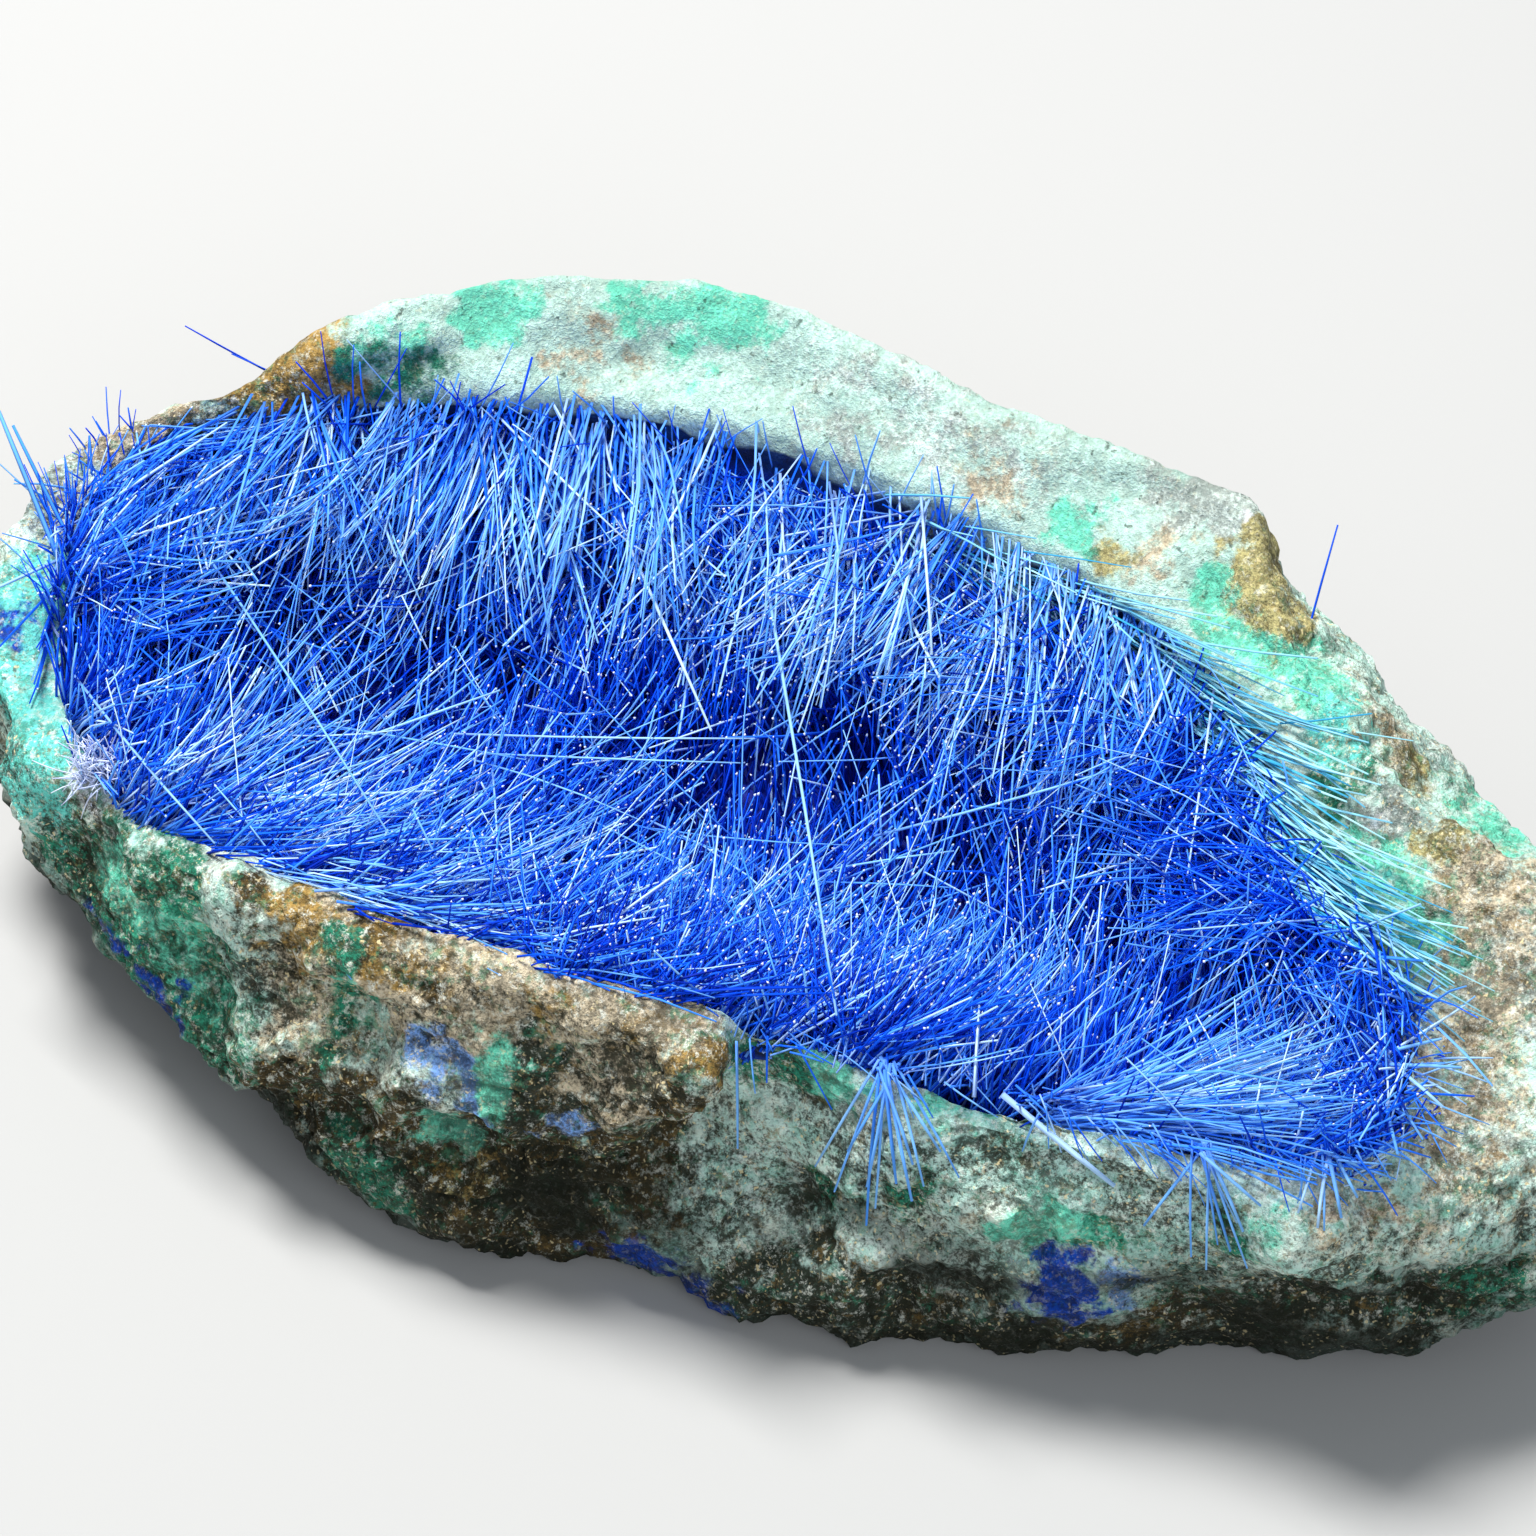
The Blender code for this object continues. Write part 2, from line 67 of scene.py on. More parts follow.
# The inner rim of the hollow, one point for each station of the stone's outline, in its own frame,
# and the steps of the smooth outline from one to the next.
RIM_ORIGIN = (-1.973, -0.362, 0.0)
RIM_STEPS = 3
RIM = [
    (28.0, -5.5, 12.5), (26.5, -2.0, 13.0), (23.5, 0.5, 13.5), (20.0, 3.5, 13.5), (17.0, 7.0, 14.0),
    (12.5, 10.5, 14.5), (9.5, 11.5, 15.0), (6.0, 12.5, 15.0), (1.0, 13.0, 15.5), (-5.0, 13.4, 15.5),
    (-9.5, 13.2, 15.5), (-13.0, 12.5, 15.5), (-17.5, 11.0, 15.5), (-22.0, 9.3, 15.0),
    (-25.5, 7.0, 14.5), (-28.0, 4.8, 14.0), (-29.3, 1.0, 14.0), (-28.0, -4.0, 13.5),
    (-26.0, -7.5, 13.0), (-23.3, -10.8, 13.0), (-19.5, -13.2, 13.0), (-15.6, -14.0, 13.5),
    (-10.5, -14.6, 14.0), (-5.0, -14.9, 14.0), (0.0, -14.4, 14.0), (4.8, -13.5, 13.5),
    (7.6, -12.9, 12.8), (12.0, -12.6, 12.2), (17.5, -11.8, 12.2), (23.0, -11.1, 12.2),
    (27.0, -9.6, 12.4), (28.2, -7.6, 12.5),
]

# The hollow's wall is above this height, turns down no more than this, and faces in or up.
HOLLOW_LOWEST = 3.5
HOLLOW_TURN = -0.3
INWARD_SLOPE = 4.0

# A length that guards a division, a distance beyond all others, and how close corners are welded.
TINY = 1e-9
FAR_AWAY = 1e9
WELD = 0.001

# The rock's fine surface: its longest edge after each round, and the height where its seat ends.
ROCK_EDGES = (1.7, 0.85, 0.42)
ROCK_SMOOTHING = 3
SEAT_BELOW = 0.01

# Relief in millimetres: each form has a size and a height, and layers are flatter than they are wide.
SKIN_SEED = Vector((3.7, 11.3, 5.9))
SWELLS = ((2.6, 0.14),)
CHIP = (1.9, 0.25)
FLAKE = (0.85, 0.21)
LEDGE = (1.9, 0.16)
LEDGE_TURN = Vector((5.0, 1.0, 8.0))
GRAINS = ((0.80, 0.18), (0.45, 0.22))
FINE_LUMPS = ((3.2, 0.26), (1.1, 0.12), (0.45, 0.08))
LAYERING = 1.5
CRACK_DEPTH = 0.16
CRACK_SHARPNESS = 7.0
TILT_SCALE = 6.1
TILT_TURNS = (1.3, 4.7, 7.9)

# How the outlines of stains and strokes wander, and how far and how firmly a stain reaches.
WARPS = ((3.0, 1.3), (0.9, 1.1))
WARP_TURNS = (Vector((9.1, 2.3, 4.4)), Vector((1.7, 8.8, 6.1)), Vector((5.5, 3.9, 0.8)))
STROKE_WANDER = 0.4
SPOT_REACH = 1.7
SPOT_FIRMNESS = 1.5

# Where a mask sets in, and over what span it gets full: in millimetres under the rim for the
# hollow's lining and its lip, in millimetres from the rim for its edge and for the broken relief,
# and in the upward part of the normal for the upper faces.
LINING_RAMP = (1.6, 1.4)
LIP_RAMP = (0.3, 0.5)
EDGE_RAMP = (0.0, 0.15)
BROKEN_RAMP = (0.0, 2.2)
TOP_RAMP = (0.3, 0.5)

# How much of the broken relief is left at the rim, and taken off smooth crusts and upper faces; how
# far turquoise counts as such a crust, and from where one is shaded smooth; how much relief is left
# in the hollow; and how the relief's height gives the mask of the raised grains.
RIM_BROKEN = 0.35
CRUST_SMOOTH = 0.8
TOP_SMOOTH = 0.45
TURQUOISE_SMOOTH = 0.6
SHADED_SMOOTH = 0.35
HOLLOW_RELIEF = 0.25
RAISED_FROM = 0.2
RAISED_RISE = 0.9

# Ridges and grooves of the broken faces: pixels along each, its width in millimetres, its height.
STROKES = [
    # upright arris left of the lobe, and the hollowed face beside it
    ([(238, 880), (246, 960), (252, 1050), (262, 1128)], 1.1, 0.75),
    ([(200, 940), (215, 1010), (228, 1080)], 1.9, -0.55),
    # the lobe's lower edge, the undercut below it, and its crown
    ([(275, 1062), (350, 1080), (430, 1100), (520, 1118), (600, 1128), (680, 1095), (725, 1050)], 1.3, 0.70),
    ([(300, 1118), (400, 1140), (500, 1160), (600, 1170), (690, 1150)], 2.3, -1.10),
    ([(752, 1052), (742, 1095), (715, 1130), (680, 1160)], 1.2, -1.25),
    ([(330, 920), (430, 960), (560, 1000), (690, 1030)], 1.6, 0.35),
    ([(520, 1000), (560, 1060), (575, 1120)], 1.0, -0.45),
    ([(300, 950), (370, 1000), (380, 1050)], 0.9, -0.35),
    # ledges and hollows of the grey-green bulge
    ([(770, 1120), (860, 1150), (960, 1190), (1060, 1200)], 1.5, 0.45),
    ([(760, 1180), (860, 1220), (960, 1260)], 1.3, -0.40),
    ([(880, 1240), (1000, 1270), (1100, 1290)], 1.2, 0.45),
    ([(1030, 1164), (1065, 1173), (1120, 1188), (1180, 1209), (1240, 1229), (1300, 1238)], 0.95, 0.62),
    ([(1040, 1205), (1120, 1228), (1210, 1254), (1300, 1262)], 1.8, 0.70),
    ([(1290, 1215), (1330, 1250), (1370, 1275)], 1.4, 0.40),
    ([(1260, 1290), (1330, 1310), (1400, 1300)], 1.5, -0.60),
    ([(1360, 1160), (1380, 1220), (1400, 1280)], 1.2, -0.45),
    ([(620, 1220), (720, 1260), (820, 1290)], 1.5, 0.40),
    # crest and steps of the far rim
    ([(870, 365), (980, 415), (1100, 460), (1200, 485), (1245, 515)], 1.0, 0.35),
    ([(1262, 530), (1290, 580), (1300, 620)], 1.2, -0.60),
    ([(560, 350), (680, 360), (790, 385)], 1.0, -0.30),
    ([(290, 372), (350, 352), (430, 335)], 0.8, 0.35),
    ([(1215, 590), (1270, 660), (1330, 740)], 0.9, -0.40),
    ([(1290, 600), (1350, 690), (1400, 770)], 1.0, 0.45),
    ([(1320, 800), (1350, 860), (1370, 930)], 1.0, -0.45),
    ([(1400, 800), (1460, 840), (1520, 870)], 1.1, 0.40),
    ([(1420, 960), (1440, 1040), (1430, 1120)], 1.3, -0.35),
]

# Stains and crusts on the rock by kind, and some painted shade: pixel of the photograph, radius in
# millimetres, strength.
PATCHES = {
    "pale": [
        (520, 330, 5.5, 1.0), (640, 320, 5.5, 1.0), (760, 360, 5.5, 1.0), (880, 410, 5.0, 1.0),
        (980, 455, 4.5, 1.0), (1080, 490, 4.5, 1.0), (1170, 520, 4.0, 1.0), (420, 350, 3.5, 0.8),
        (62, 620, 1.2, 0.8), (68, 700, 1.2, 0.8),
    ],
    "grey": [
        (880, 405, 3.0, 0.55), (970, 445, 2.6, 0.5), (1060, 475, 2.2, 0.4), (1215, 510, 1.6, 1.0),
        (1190, 495, 1.6, 0.8), (1385, 825, 1.6, 1.0), (1480, 1010, 3.0, 0.5), (1510, 960, 2.4, 0.8),
        (1440, 1140, 2.8, 0.6), (60, 500, 2.6, 0.8), (222, 930, 1.1, 0.6), (238, 1010, 1.1, 0.6),
        (196, 875, 1.2, 0.6), (400, 1080, 1.6, 0.8), (900, 1250, 3.2, 0.6), (750, 1190, 2.6, 0.6),
    ],
    "beige": [
        (1010, 470, 1.6, 0.5), (150, 425, 2.4, 1.0), (600, 350, 2.0, 0.6), (1150, 560, 1.5, 0.7),
        (1390, 755, 1.6, 0.9), (1490, 880, 2.4, 0.9), (1480, 1010, 3.0, 0.7), (1470, 1130, 3.0, 0.6),
        (1400, 1230, 2.0, 0.6), (330, 960, 3.0, 1.0), (430, 990, 3.0, 1.0), (540, 1020, 3.2, 1.0),
        (650, 1040, 3.0, 1.0), (300, 1030, 2.2, 0.8), (600, 1090, 2.4, 0.8), (1330, 1200, 1.5, 0.6),
    ],
    # Brown stone on the lobe; in the undercut below it, in the notch and along the bottom, partly painted
    # shade.
    "brown": [
        (262, 905, 0.9, 0.9), (430, 1000, 1.0, 0.7), (285, 950, 0.9, 0.8), (380, 930, 1.1, 0.9),
        (735, 1050, 0.9, 0.9), (700, 1100, 1.5, 0.9), (330, 1120, 3.0, 1.0), (430, 1180, 3.4, 1.0),
        (540, 1180, 3.2, 1.0), (640, 1180, 2.8, 0.9), (480, 1230, 2.6, 1.0), (270, 1080, 1.4, 0.8),
        (560, 1240, 2.2, 1.0), (620, 1262, 1.6, 0.9), (1100, 1335, 1.6, 0.9), (940, 1320, 2.4, 0.9),
        (1200, 1310, 2.2, 0.9),
    ],
    "ochre": [
        (300, 362, 2.2, 1.0), (262, 392, 1.6, 1.0), (345, 378, 1.2, 0.8), (1090, 548, 0.6, 0.7),
        (165, 1000, 0.6, 1.0), (310, 905, 1.6, 0.9), (400, 945, 1.3, 0.7), (460, 965, 1.1, 0.6),
        (300, 960, 1.2, 0.6), (540, 1005, 1.2, 0.7), (640, 1010, 1.0, 0.6), (722, 1060, 1.3, 0.9),
        (460, 1175, 1.4, 0.6), (1130, 1325, 0.9, 0.9),
    ],
    "olive": [
        (1112, 562, 1.3, 0.9), (1262, 562, 1.5, 1.0), (1268, 592, 2.0, 1.0), (1280, 608, 1.0, 1.0),
        (1252, 535, 1.1, 0.9), (1410, 768, 1.2, 0.9), (1440, 842, 1.2, 0.8), (1490, 850, 1.4, 0.8),
        (470, 1200, 1.0, 0.5), (560, 1170, 0.9, 0.5),
    ],
    # Mostly painted shade, in the grooves, the notch beside the lobe and along the bottom; a few dark marks.
    "dark": [
        (1300, 640, 0.7, 0.7), (1345, 735, 0.6, 0.8), (1395, 880, 0.7, 0.6), (75, 835, 1.1, 0.9),
        (335, 1020, 0.8, 0.8), (545, 1066, 1.5, 1.0), (540, 1105, 1.3, 1.0), (720, 1290, 1.6, 0.9),
        (1300, 1290, 2.4, 0.9), (800, 1290, 2.4, 0.9), (880, 1310, 2.2, 0.9), (1020, 1335, 2.4, 0.9),
        (1240, 1335, 2.2, 0.9), (1380, 1300, 2.4, 0.9), (1460, 1290, 2.2, 0.8), (752, 1050, 0.9, 0.9),
    ],
    "green": [
        (405, 380, 1.3, 0.8), (465, 374, 1.1, 0.7), (370, 360, 1.1, 0.8), (1090, 540, 0.8, 0.8),
        (1345, 700, 0.8, 0.8), (1345, 770, 1.2, 0.8), (1410, 920, 2.0, 0.6), (1440, 950, 1.6, 0.5),
        (1500, 1290, 2.4, 0.8), (110, 900, 3.2, 1.0), (150, 950, 3.2, 1.0), (190, 1000, 3.0, 1.0),
        (80, 850, 2.2, 1.0), (215, 1060, 1.8, 0.8), (342, 945, 1.3, 1.0), (352, 1000, 1.4, 1.0),
        (320, 1050, 1.0, 0.8), (350, 1172, 1.5, 1.0), (385, 1192, 1.3, 1.0), (610, 1210, 1.0, 0.6),
        (800, 1065, 1.6, 1.0), (820, 1192, 1.2, 1.0), (905, 1188, 1.2, 1.0), (1085, 1235, 1.6, 0.9),
        (1240, 1225, 1.4, 0.9), (1190, 1290, 1.2, 0.6), (765, 1060, 1.4, 1.0), (800, 1048, 1.0, 0.9),
        (160, 872, 1.7, 0.9),
    ],
    "mint": [
        (500, 305, 1.8, 1.0), (715, 310, 1.9, 1.0), (640, 296, 1.1, 0.8), (470, 330, 0.9, 0.8),
        (400, 335, 1.0, 0.6), (1070, 520, 1.2, 1.0), (770, 330, 0.8, 0.6), (1232, 630, 1.3, 1.0),
        (1290, 652, 1.6, 0.9), (1320, 680, 1.7, 0.9), (1212, 600, 0.8, 0.9), (1340, 852, 1.4, 1.0),
        (1400, 895, 1.8, 0.7), (1430, 945, 1.6, 0.55), (115, 855, 1.2, 0.8), (130, 890, 1.6, 0.6),
        (170, 935, 1.8, 0.6), (205, 990, 1.6, 0.6), (245, 1100, 1.0, 0.8), (350, 975, 0.8, 0.9),
        (492, 1072, 1.5, 1.0), (440, 1135, 1.4, 1.0), (835, 1075, 1.2, 0.9), (930, 1100, 1.3, 0.6),
        (960, 1120, 1.2, 0.6), (1050, 1215, 1.8, 1.0), (1280, 1215, 1.2, 0.6), (850, 1062, 0.9, 0.9),
    ],
    "turquoise": [
        (1330, 720, 1.5, 0.8), (1330, 885, 1.5, 1.0), (1335, 912, 1.1, 1.0), (20, 640, 2.4, 1.0),
        (25, 720, 2.2, 1.0), (30, 790, 1.8, 1.0), (35, 585, 1.6, 0.9),
    ],
    "azurite": [
        (104, 926, 0.75, 1.0), (138, 962, 0.75, 1.0), (172, 992, 0.75, 1.0), (5, 620, 1.0, 0.8),
        (632, 1245, 1.5, 1.0), (668, 1268, 1.5, 1.0), (700, 1286, 1.0, 1.0), (1048, 1288, 1.4, 1.0),
        (1082, 1298, 1.0, 1.0), (1020, 1270, 0.5, 1.0),
    ],
    "lilac": [
        (444, 1066, 1.1, 1.0), (478, 1100, 1.0, 1.0), (574, 1126, 0.65, 1.0), (1130, 1275, 1.1, 1.0),
    ],
    "white": [
        (1232, 520, 0.6, 0.9), (1380, 815, 0.7, 0.8), (1336, 926, 0.7, 1.0), (100, 785, 1.1, 0.9),
    ],
}

# Stains on the faces that the photograph doesn't show: kind, place, radius, strength.
HIDDEN_PATCHES = [
    ("green", (-14.0, 16.5, 10.0), 4.5, 0.8), ("mint", (-10.0, 18.0, 14.0), 2.6, 0.7),
    ("beige", (0.0, 19.0, 9.0), 6.0, 0.9), ("brown", (4.0, 17.5, 4.0), 4.0, 0.9),
    ("ochre", (8.0, 18.0, 12.0), 3.0, 0.7), ("green", (14.0, 15.0, 9.0), 3.4, 0.8),
    ("azurite", (-4.0, 19.0, 12.5), 1.4, 0.9), ("grey", (20.0, 12.0, 8.0), 5.0, 0.8),
    ("mint", (24.0, 9.0, 12.0), 2.2, 0.8), ("brown", (-22.0, 10.0, 5.0), 4.0, 0.9),
    ("beige", (30.0, 4.0, 7.0), 5.0, 0.9), ("green", (33.0, -2.0, 5.0), 3.0, 0.7),
    ("ochre", (31.0, 6.0, 11.0), 2.0, 0.7), ("azurite", (17.0, 13.0, 5.0), 1.3, 0.9),
    ("green", (-28.0, 6.0, 8.0), 3.0, 0.8), ("turquoise", (-31.0, 0.0, 10.0), 3.0, 0.8),
]
COLOURS = {
    "pale": (0.55, 0.81, 0.71),
    "grey": (0.66, 0.78, 0.72),
    "beige": (0.68, 0.58, 0.41),
    "brown": (0.080, 0.055, 0.020),
    "ochre": (0.46, 0.29, 0.080),
    "olive": (0.56, 0.50, 0.22),
    "dark": (0.035, 0.050, 0.034),
    "green": (0.030, 0.30, 0.18),
    "mint": (0.19, 0.80, 0.57),
    "turquoise": (0.16, 0.76, 0.66),
    "azurite": (0.004, 0.072, 0.55),
    "lilac": (0.24, 0.46, 0.95),
    "white": (0.84, 0.88, 0.90),
}

# Painted shade: how much darker a stain is between its grains, and the kinds that are finer-grained.
DULL = 0.40
SOFT_DULL = 0.64
SOFT_KINDS = ("pale", "mint", "white", "turquoise", "lilac")

# The stone's underside gets painted shade: below this height, and where the normal's upward part is
# under this, with how gradually it gets so.
UNDER_BELOW = 9.0
UNDER_FADE = 2.5
UNDER_FACING = 0.30
UNDER_TURN = 0.50

# Small stains all over the rough stone: turn of the noise, its scale, how much they cover, colour.
STAINS = [
    (20.0, 1500.0, 0.70, (0.24, 0.15, 0.045)), (27.0, 1100.0, 0.60, (0.040, 0.26, 0.15)),
    (33.0, 2600.0, 0.75, (0.82, 0.86, 0.76)), (41.0, 1300.0, 0.65, (0.045, 0.045, 0.026)),
]
BASE_SHADES = [
    (0.33, (0.12, 0.27, 0.21)),
    (0.42, (0.38, 0.65, 0.56)),
    (0.54, (0.60, 0.80, 0.71)),
    (0.68, (0.78, 0.82, 0.68)),
]
# Painted shadow: near-black navy on the hollow's wall just under the rim.
RIM_SHADOW_SHADES = [(0.35, (0.0008, 0.007, 0.045)), (0.65, (0.002, 0.032, 0.14))]
LINING_BLUE = (0.003, 0.060, 0.75)
# Painted shade in the low grains and in the pits.
LOW_GRAIN_SHADE_COLOUR = (0.020, 0.022, 0.012)
PIT_SHADE_COLOUR = (0.022, 0.030, 0.020)
# Painted shade of the underside.
UNDERSIDE_PAINTED_SHADE = (0.007, 0.009, 0.004)
# Painted glints: the bright colour of small grains that catch the light.
PAINTED_GLINT = (0.80, 0.66, 0.36)

# Noises of the rock's look: scale, octaves, roughness, turn.
NOISES = {
    "base": (420.0, 6.0, 0.75),
    "small": (2400.0, 4.0, 0.80),
    "tiny": (6500.0, 2.0, 0.75, 3.0),
    "pits": (2600.0, 3.0, 0.6, 9.0),
    "grit": (5200.0, 1.0, 0.5, 1.0),
    "glints": (500.0, 3.0, 0.5, 2.0),
    "deep": (1200.0, 2.0),
}
STAIN_NOISE = (900.0, 4.0, 0.78)
STAIN_TURN = 5.3
STAIN_BREAK = 2.4

# Values at which a part of the rock's look sets in and is full.
STEPS = {
    "stain": (0.38, 0.86),
    "near_stain": (0.0, 0.22),
    "lit_grain": (0.36, 0.60),
    "small_stain": (0.52, 0.64),
    "low_grain": (0.34, 0.50),
    "pit": (0.60, 0.70),
    "glint": (0.63, 0.70),
    "glint_area": (0.40, 0.56),
    "gloss": (0.55, 0.68),
    "hollow": (0.35, 0.65),
}

# How strongly each part of the rock's look shows.
GRAIN_SHARES = (0.6, 0.4)
# Painted light on the relief's crests.
CREST_PAINTED_LIGHT = 0.34
MINT_SOFT = 0.6
SOFTNESS = 0.8
# Painted shade: its strength in the low grains, how much upper faces are spared it, and in the pits.
LOW_GRAIN_SHADE_AMOUNT = 0.92
TOP_LESS_SHADE = 0.6
PIT_DARK = 0.7
# Painted shade on the underside: its strength, and how much green and azurite stains show through.
UNDER_DARK = 0.94
STAINED_UNDER = 0.6
# How bright the painted glints are, and how much fainter on the underside.
GLINT_LIGHT = 0.8
UNDER_GLINT = 0.5
ROCK_ROUGHNESS = 0.95
GRIT_GLOSS = 0.6
ROCK_SPECULAR = 0.25
BUMP_DEPTH = 0.00026

# Needle crystals. A population grows on the floor of the hollow, on its wall or close under the
# rim. It has a number of tufts and of needles in each, how far their roots scatter, the least and
# most share of its reach that a needle has, how far a tuft spreads and curves, a change of shade
# and how much the shade varies. The longer needles of a population are also the paler ones, and
# the short under-layers are darker: painted shade deep in the mat.
NEEDLE_SEED = 23
POPULATIONS = [
    ("floor", 700, 7, 0.50, (0.45, 0.80), 0.10, 0.08, -0.40, 0.08),
    ("floor", 200, 25, 0.50, (0.70, 1.04), 0.085, 0.18, -0.09, 0.23),
    ("floor", 760, 1, 0.20, (0.90, 1.16), 0.32, 0.12, 0.22, 0.20),
    ("wall", 420, 7, 0.50, (0.40, 0.75), 0.10, 0.08, -0.34, 0.08),
    ("wall", 190, 21, 0.50, (0.62, 1.05), 0.095, 0.17, -0.05, 0.21),
    ("wall", 520, 1, 0.20, (0.80, 1.25), 0.38, 0.12, 0.20, 0.18),
    ("rim", 90, 1, 0.20, (0.55, 1.10), 0.55, 0.12, 0.16, 0.16),
    ("near", 90, 12, 0.40, (0.40, 0.95), 0.18, 0.14, 0.14, 0.22),
]
DEPTH_PAINTED_SHADE = 1.2
NEEDLE_REACH = 9.0
NEEDLE_RADIUS = (0.033, 0.068)
ROOT_DEPTH = 0.25
ROOT_SEARCH = 3.0
SINGLE_BEND = 0.035

# Where a population is rooted: how far under the rim, and which way the wall faces there. The far
# wall's needles leave a gap under one stretch of the rim.
BANDS = {"floor": (4.0, 99.0), "wall": (0.3, 6.5), "rim": (0.2, 2.0), "near": (0.1, 2.0)}
LINING_TURN = 0.02
NEAR_FACING = 0.2
RIM_FACING = -0.3
FAR_FACING = -0.35
FAR_GAP = 1.4
FAR_GAP_SPAN = (-14.0, 7.0)

# Tufts: how they turn and open, how their size, shade and bend vary, how clear of the wall they
# stand, and how the needles of the near and of the far wall lean.
TUFT_TURN = 18.0
TUFT_OPEN = 0.16
TUFT_SIZES = (0.85, 1.0)
TUFT_SHADE = 0.6
TUFT_BEND = 0.5
OFF_WALL = 0.2
LEAST_OFF_WALL = 0.12
WALL_LIFT = (0.4, 0.7)
UP = np.array((0.0, 0.0, 1.0))
FORWARD = np.array((0.42, -0.91, 0.0))
WALL_LEAN = 0.5
FAR_TURN = (1.6, 0.3)
FAR_LEAN = (0.9, 0.4, 0.15)
FAR_WALL = (5.5, 3.0)

# Reach of the floor's needles, where a needle that meets the stone or the rim ends, how far tips
# rise over the mat, and the rounds in which a place is found.
LEAST_RISE = 0.12
FLOOR_REACH = (2.0, 12.0)
CLEAR_START = 0.8
ROCK_SINK = 0.5
RIM_OVERHANG = 0.25
BLUNT_OVERHANG = 1.3
BLUNT_END_FROM = 24.0
OUTSIDE_SHARE = 0.45
TIP_RISE = 0.5
TIP_SPREAD = 0.8
MOST_BEND = 0.22
TOO_TALL_SHARE = 0.75
BASE_CLEAR = 1.2
LEAST_DROP = 0.01
ROUNDS = 3

# Top of the mat: its height, how much lower its middle is with that dip's length and width, and how
# much higher it is towards the near rim and the left end, with where that starts and its span.
MAT_TOP = 13.3
MAT_TOP_GUESS = 13.0
MAT_DIP = (0.7, 20.0, 9.0)
MAT_NEAR = (0.8, 5.0, 8.0)
MAT_LEFT = (1.3, 17.0, 10.0)

# The bed: how deep under the mat's top it lies, its waves, its grid and its thickness, and how the
# needles stand in it.
BED_DEPTH = 6.0
BED_WAVES = 0.35
BED_STEP = 0.5
BED_THICKNESS = 1.0
BED_LEAST_RISE = 0.25
BED_SINK = 0.5
SHORTEST = 1.0

# Bundles that stand out in the photograph: root pixel, tip pixel, needles, spread in degrees, shade.
# Those of the far side are rooted on the wall that shows under the rim.
FAR_BUNDLES = [
    (350, 418, 290, 595, 60, 8, 0.74), (300, 408, 230, 575, 60, 8, 0.70), (400, 405, 360, 590, 50, 8, 0.74),
    (262, 410, 170, 560, 60, 8, 0.68), (225, 420, 140, 540, 45, 8, 0.60), (180, 436, 110, 560, 40, 9, 0.52),
    (330, 405, 190, 500, 40, 8, 0.74), (430, 408, 300, 560, 40, 8, 0.76),
    (480, 415, 495, 625, 34, 5, 0.82), (540, 412, 465, 600, 40, 7, 0.74), (590, 425, 535, 630, 45, 7, 0.80),
    (640, 425, 690, 640, 40, 6, 0.80), (690, 440, 640, 660, 50, 7, 0.78),
    (790, 480, 700, 690, 50, 8, 0.78), (850, 500, 850, 720, 50, 7, 0.80), (930, 530, 880, 730, 60, 7, 0.84),
    (1000, 575, 965, 740, 70, 8, 0.90), (1040, 600, 1030, 800, 40, 7, 0.78),
    (1110, 650, 1060, 820, 40, 8, 0.66),
]
BUNDLES = [
    (1092, 1118, 1380, 1078, 230, 7, 0.76), (1092, 1122, 1370, 1120, 80, 6, 0.66),
    (1150, 1120, 1400, 1035, 60, 9, 0.66),
    (200, 850, 500, 770, 26, 8, 0.84), (250, 868, 560, 820, 34, 8, 0.84), (310, 892, 600, 855, 30, 8, 0.84),
    (190, 830, 420, 700, 22, 9, 0.78), (400, 930, 660, 860, 34, 9, 0.80), (520, 965, 740, 870, 34, 9, 0.74),
    (640, 1000, 850, 850, 70, 7, 0.68), (760, 1025, 940, 860, 60, 7, 0.64),
    (880, 1055, 1020, 880, 60, 7, 0.66), (1000, 1090, 1120, 920, 50, 7, 0.66),
    (600, 985, 700, 800, 40, 6, 0.62), (720, 1015, 800, 800, 40, 6, 0.60),
    (930, 1075, 960, 880, 40, 6, 0.60), (1060, 1105, 1090, 930, 40, 6, 0.58),
    (1380, 1085, 1290, 880, 40, 8, 0.62), (1300, 1140, 1250, 930, 40, 8, 0.56),
    (100, 760, 170, 560, 40, 8, 0.56), (90, 640, 120, 440, 35, 8, 0.52),
]
BUNDLE_PARTS = (0.62, 1.08)
BUNDLE_SHADE = 0.09
BUNDLE_ROOT_LIFT = -2.2
BUNDLE_TIP_LIFT = 0.3
BUNDLE_SCATTER = 0.42
BUNDLE_OPEN = 1.35
BUNDLE_BEND = 0.13

# Needles rooted in the far edge of the rim, over the gap between it and the mat: how many, the
# stretch of the photograph where they are few, and how few.
EDGE_COUNT = 520
EDGE_FROM = -4.0
EDGE_FEW = (430.0, 980.0)
EDGE_FEW_SHARE = 0.22
EDGE_DEPTH = 0.35
EDGE_TURN = 0.26
EDGE_LENGTH = (2.2, 7.0)
EDGE_LIFT = (0.6, 0.4)
EDGE_INWARD = 3.0
EDGE_SHADE = (0.10, 0.16)

# Bright ends of needles, painted highlights: share of tips that get one, more near a pixel within a reach,
# radius.
TIP_SHARE = (0.10, 0.46)
TIP_CENTRE = (780.0, 760.0)
TIP_REACH = 330.0
TIP_RADIUS = (0.036, 0.070)

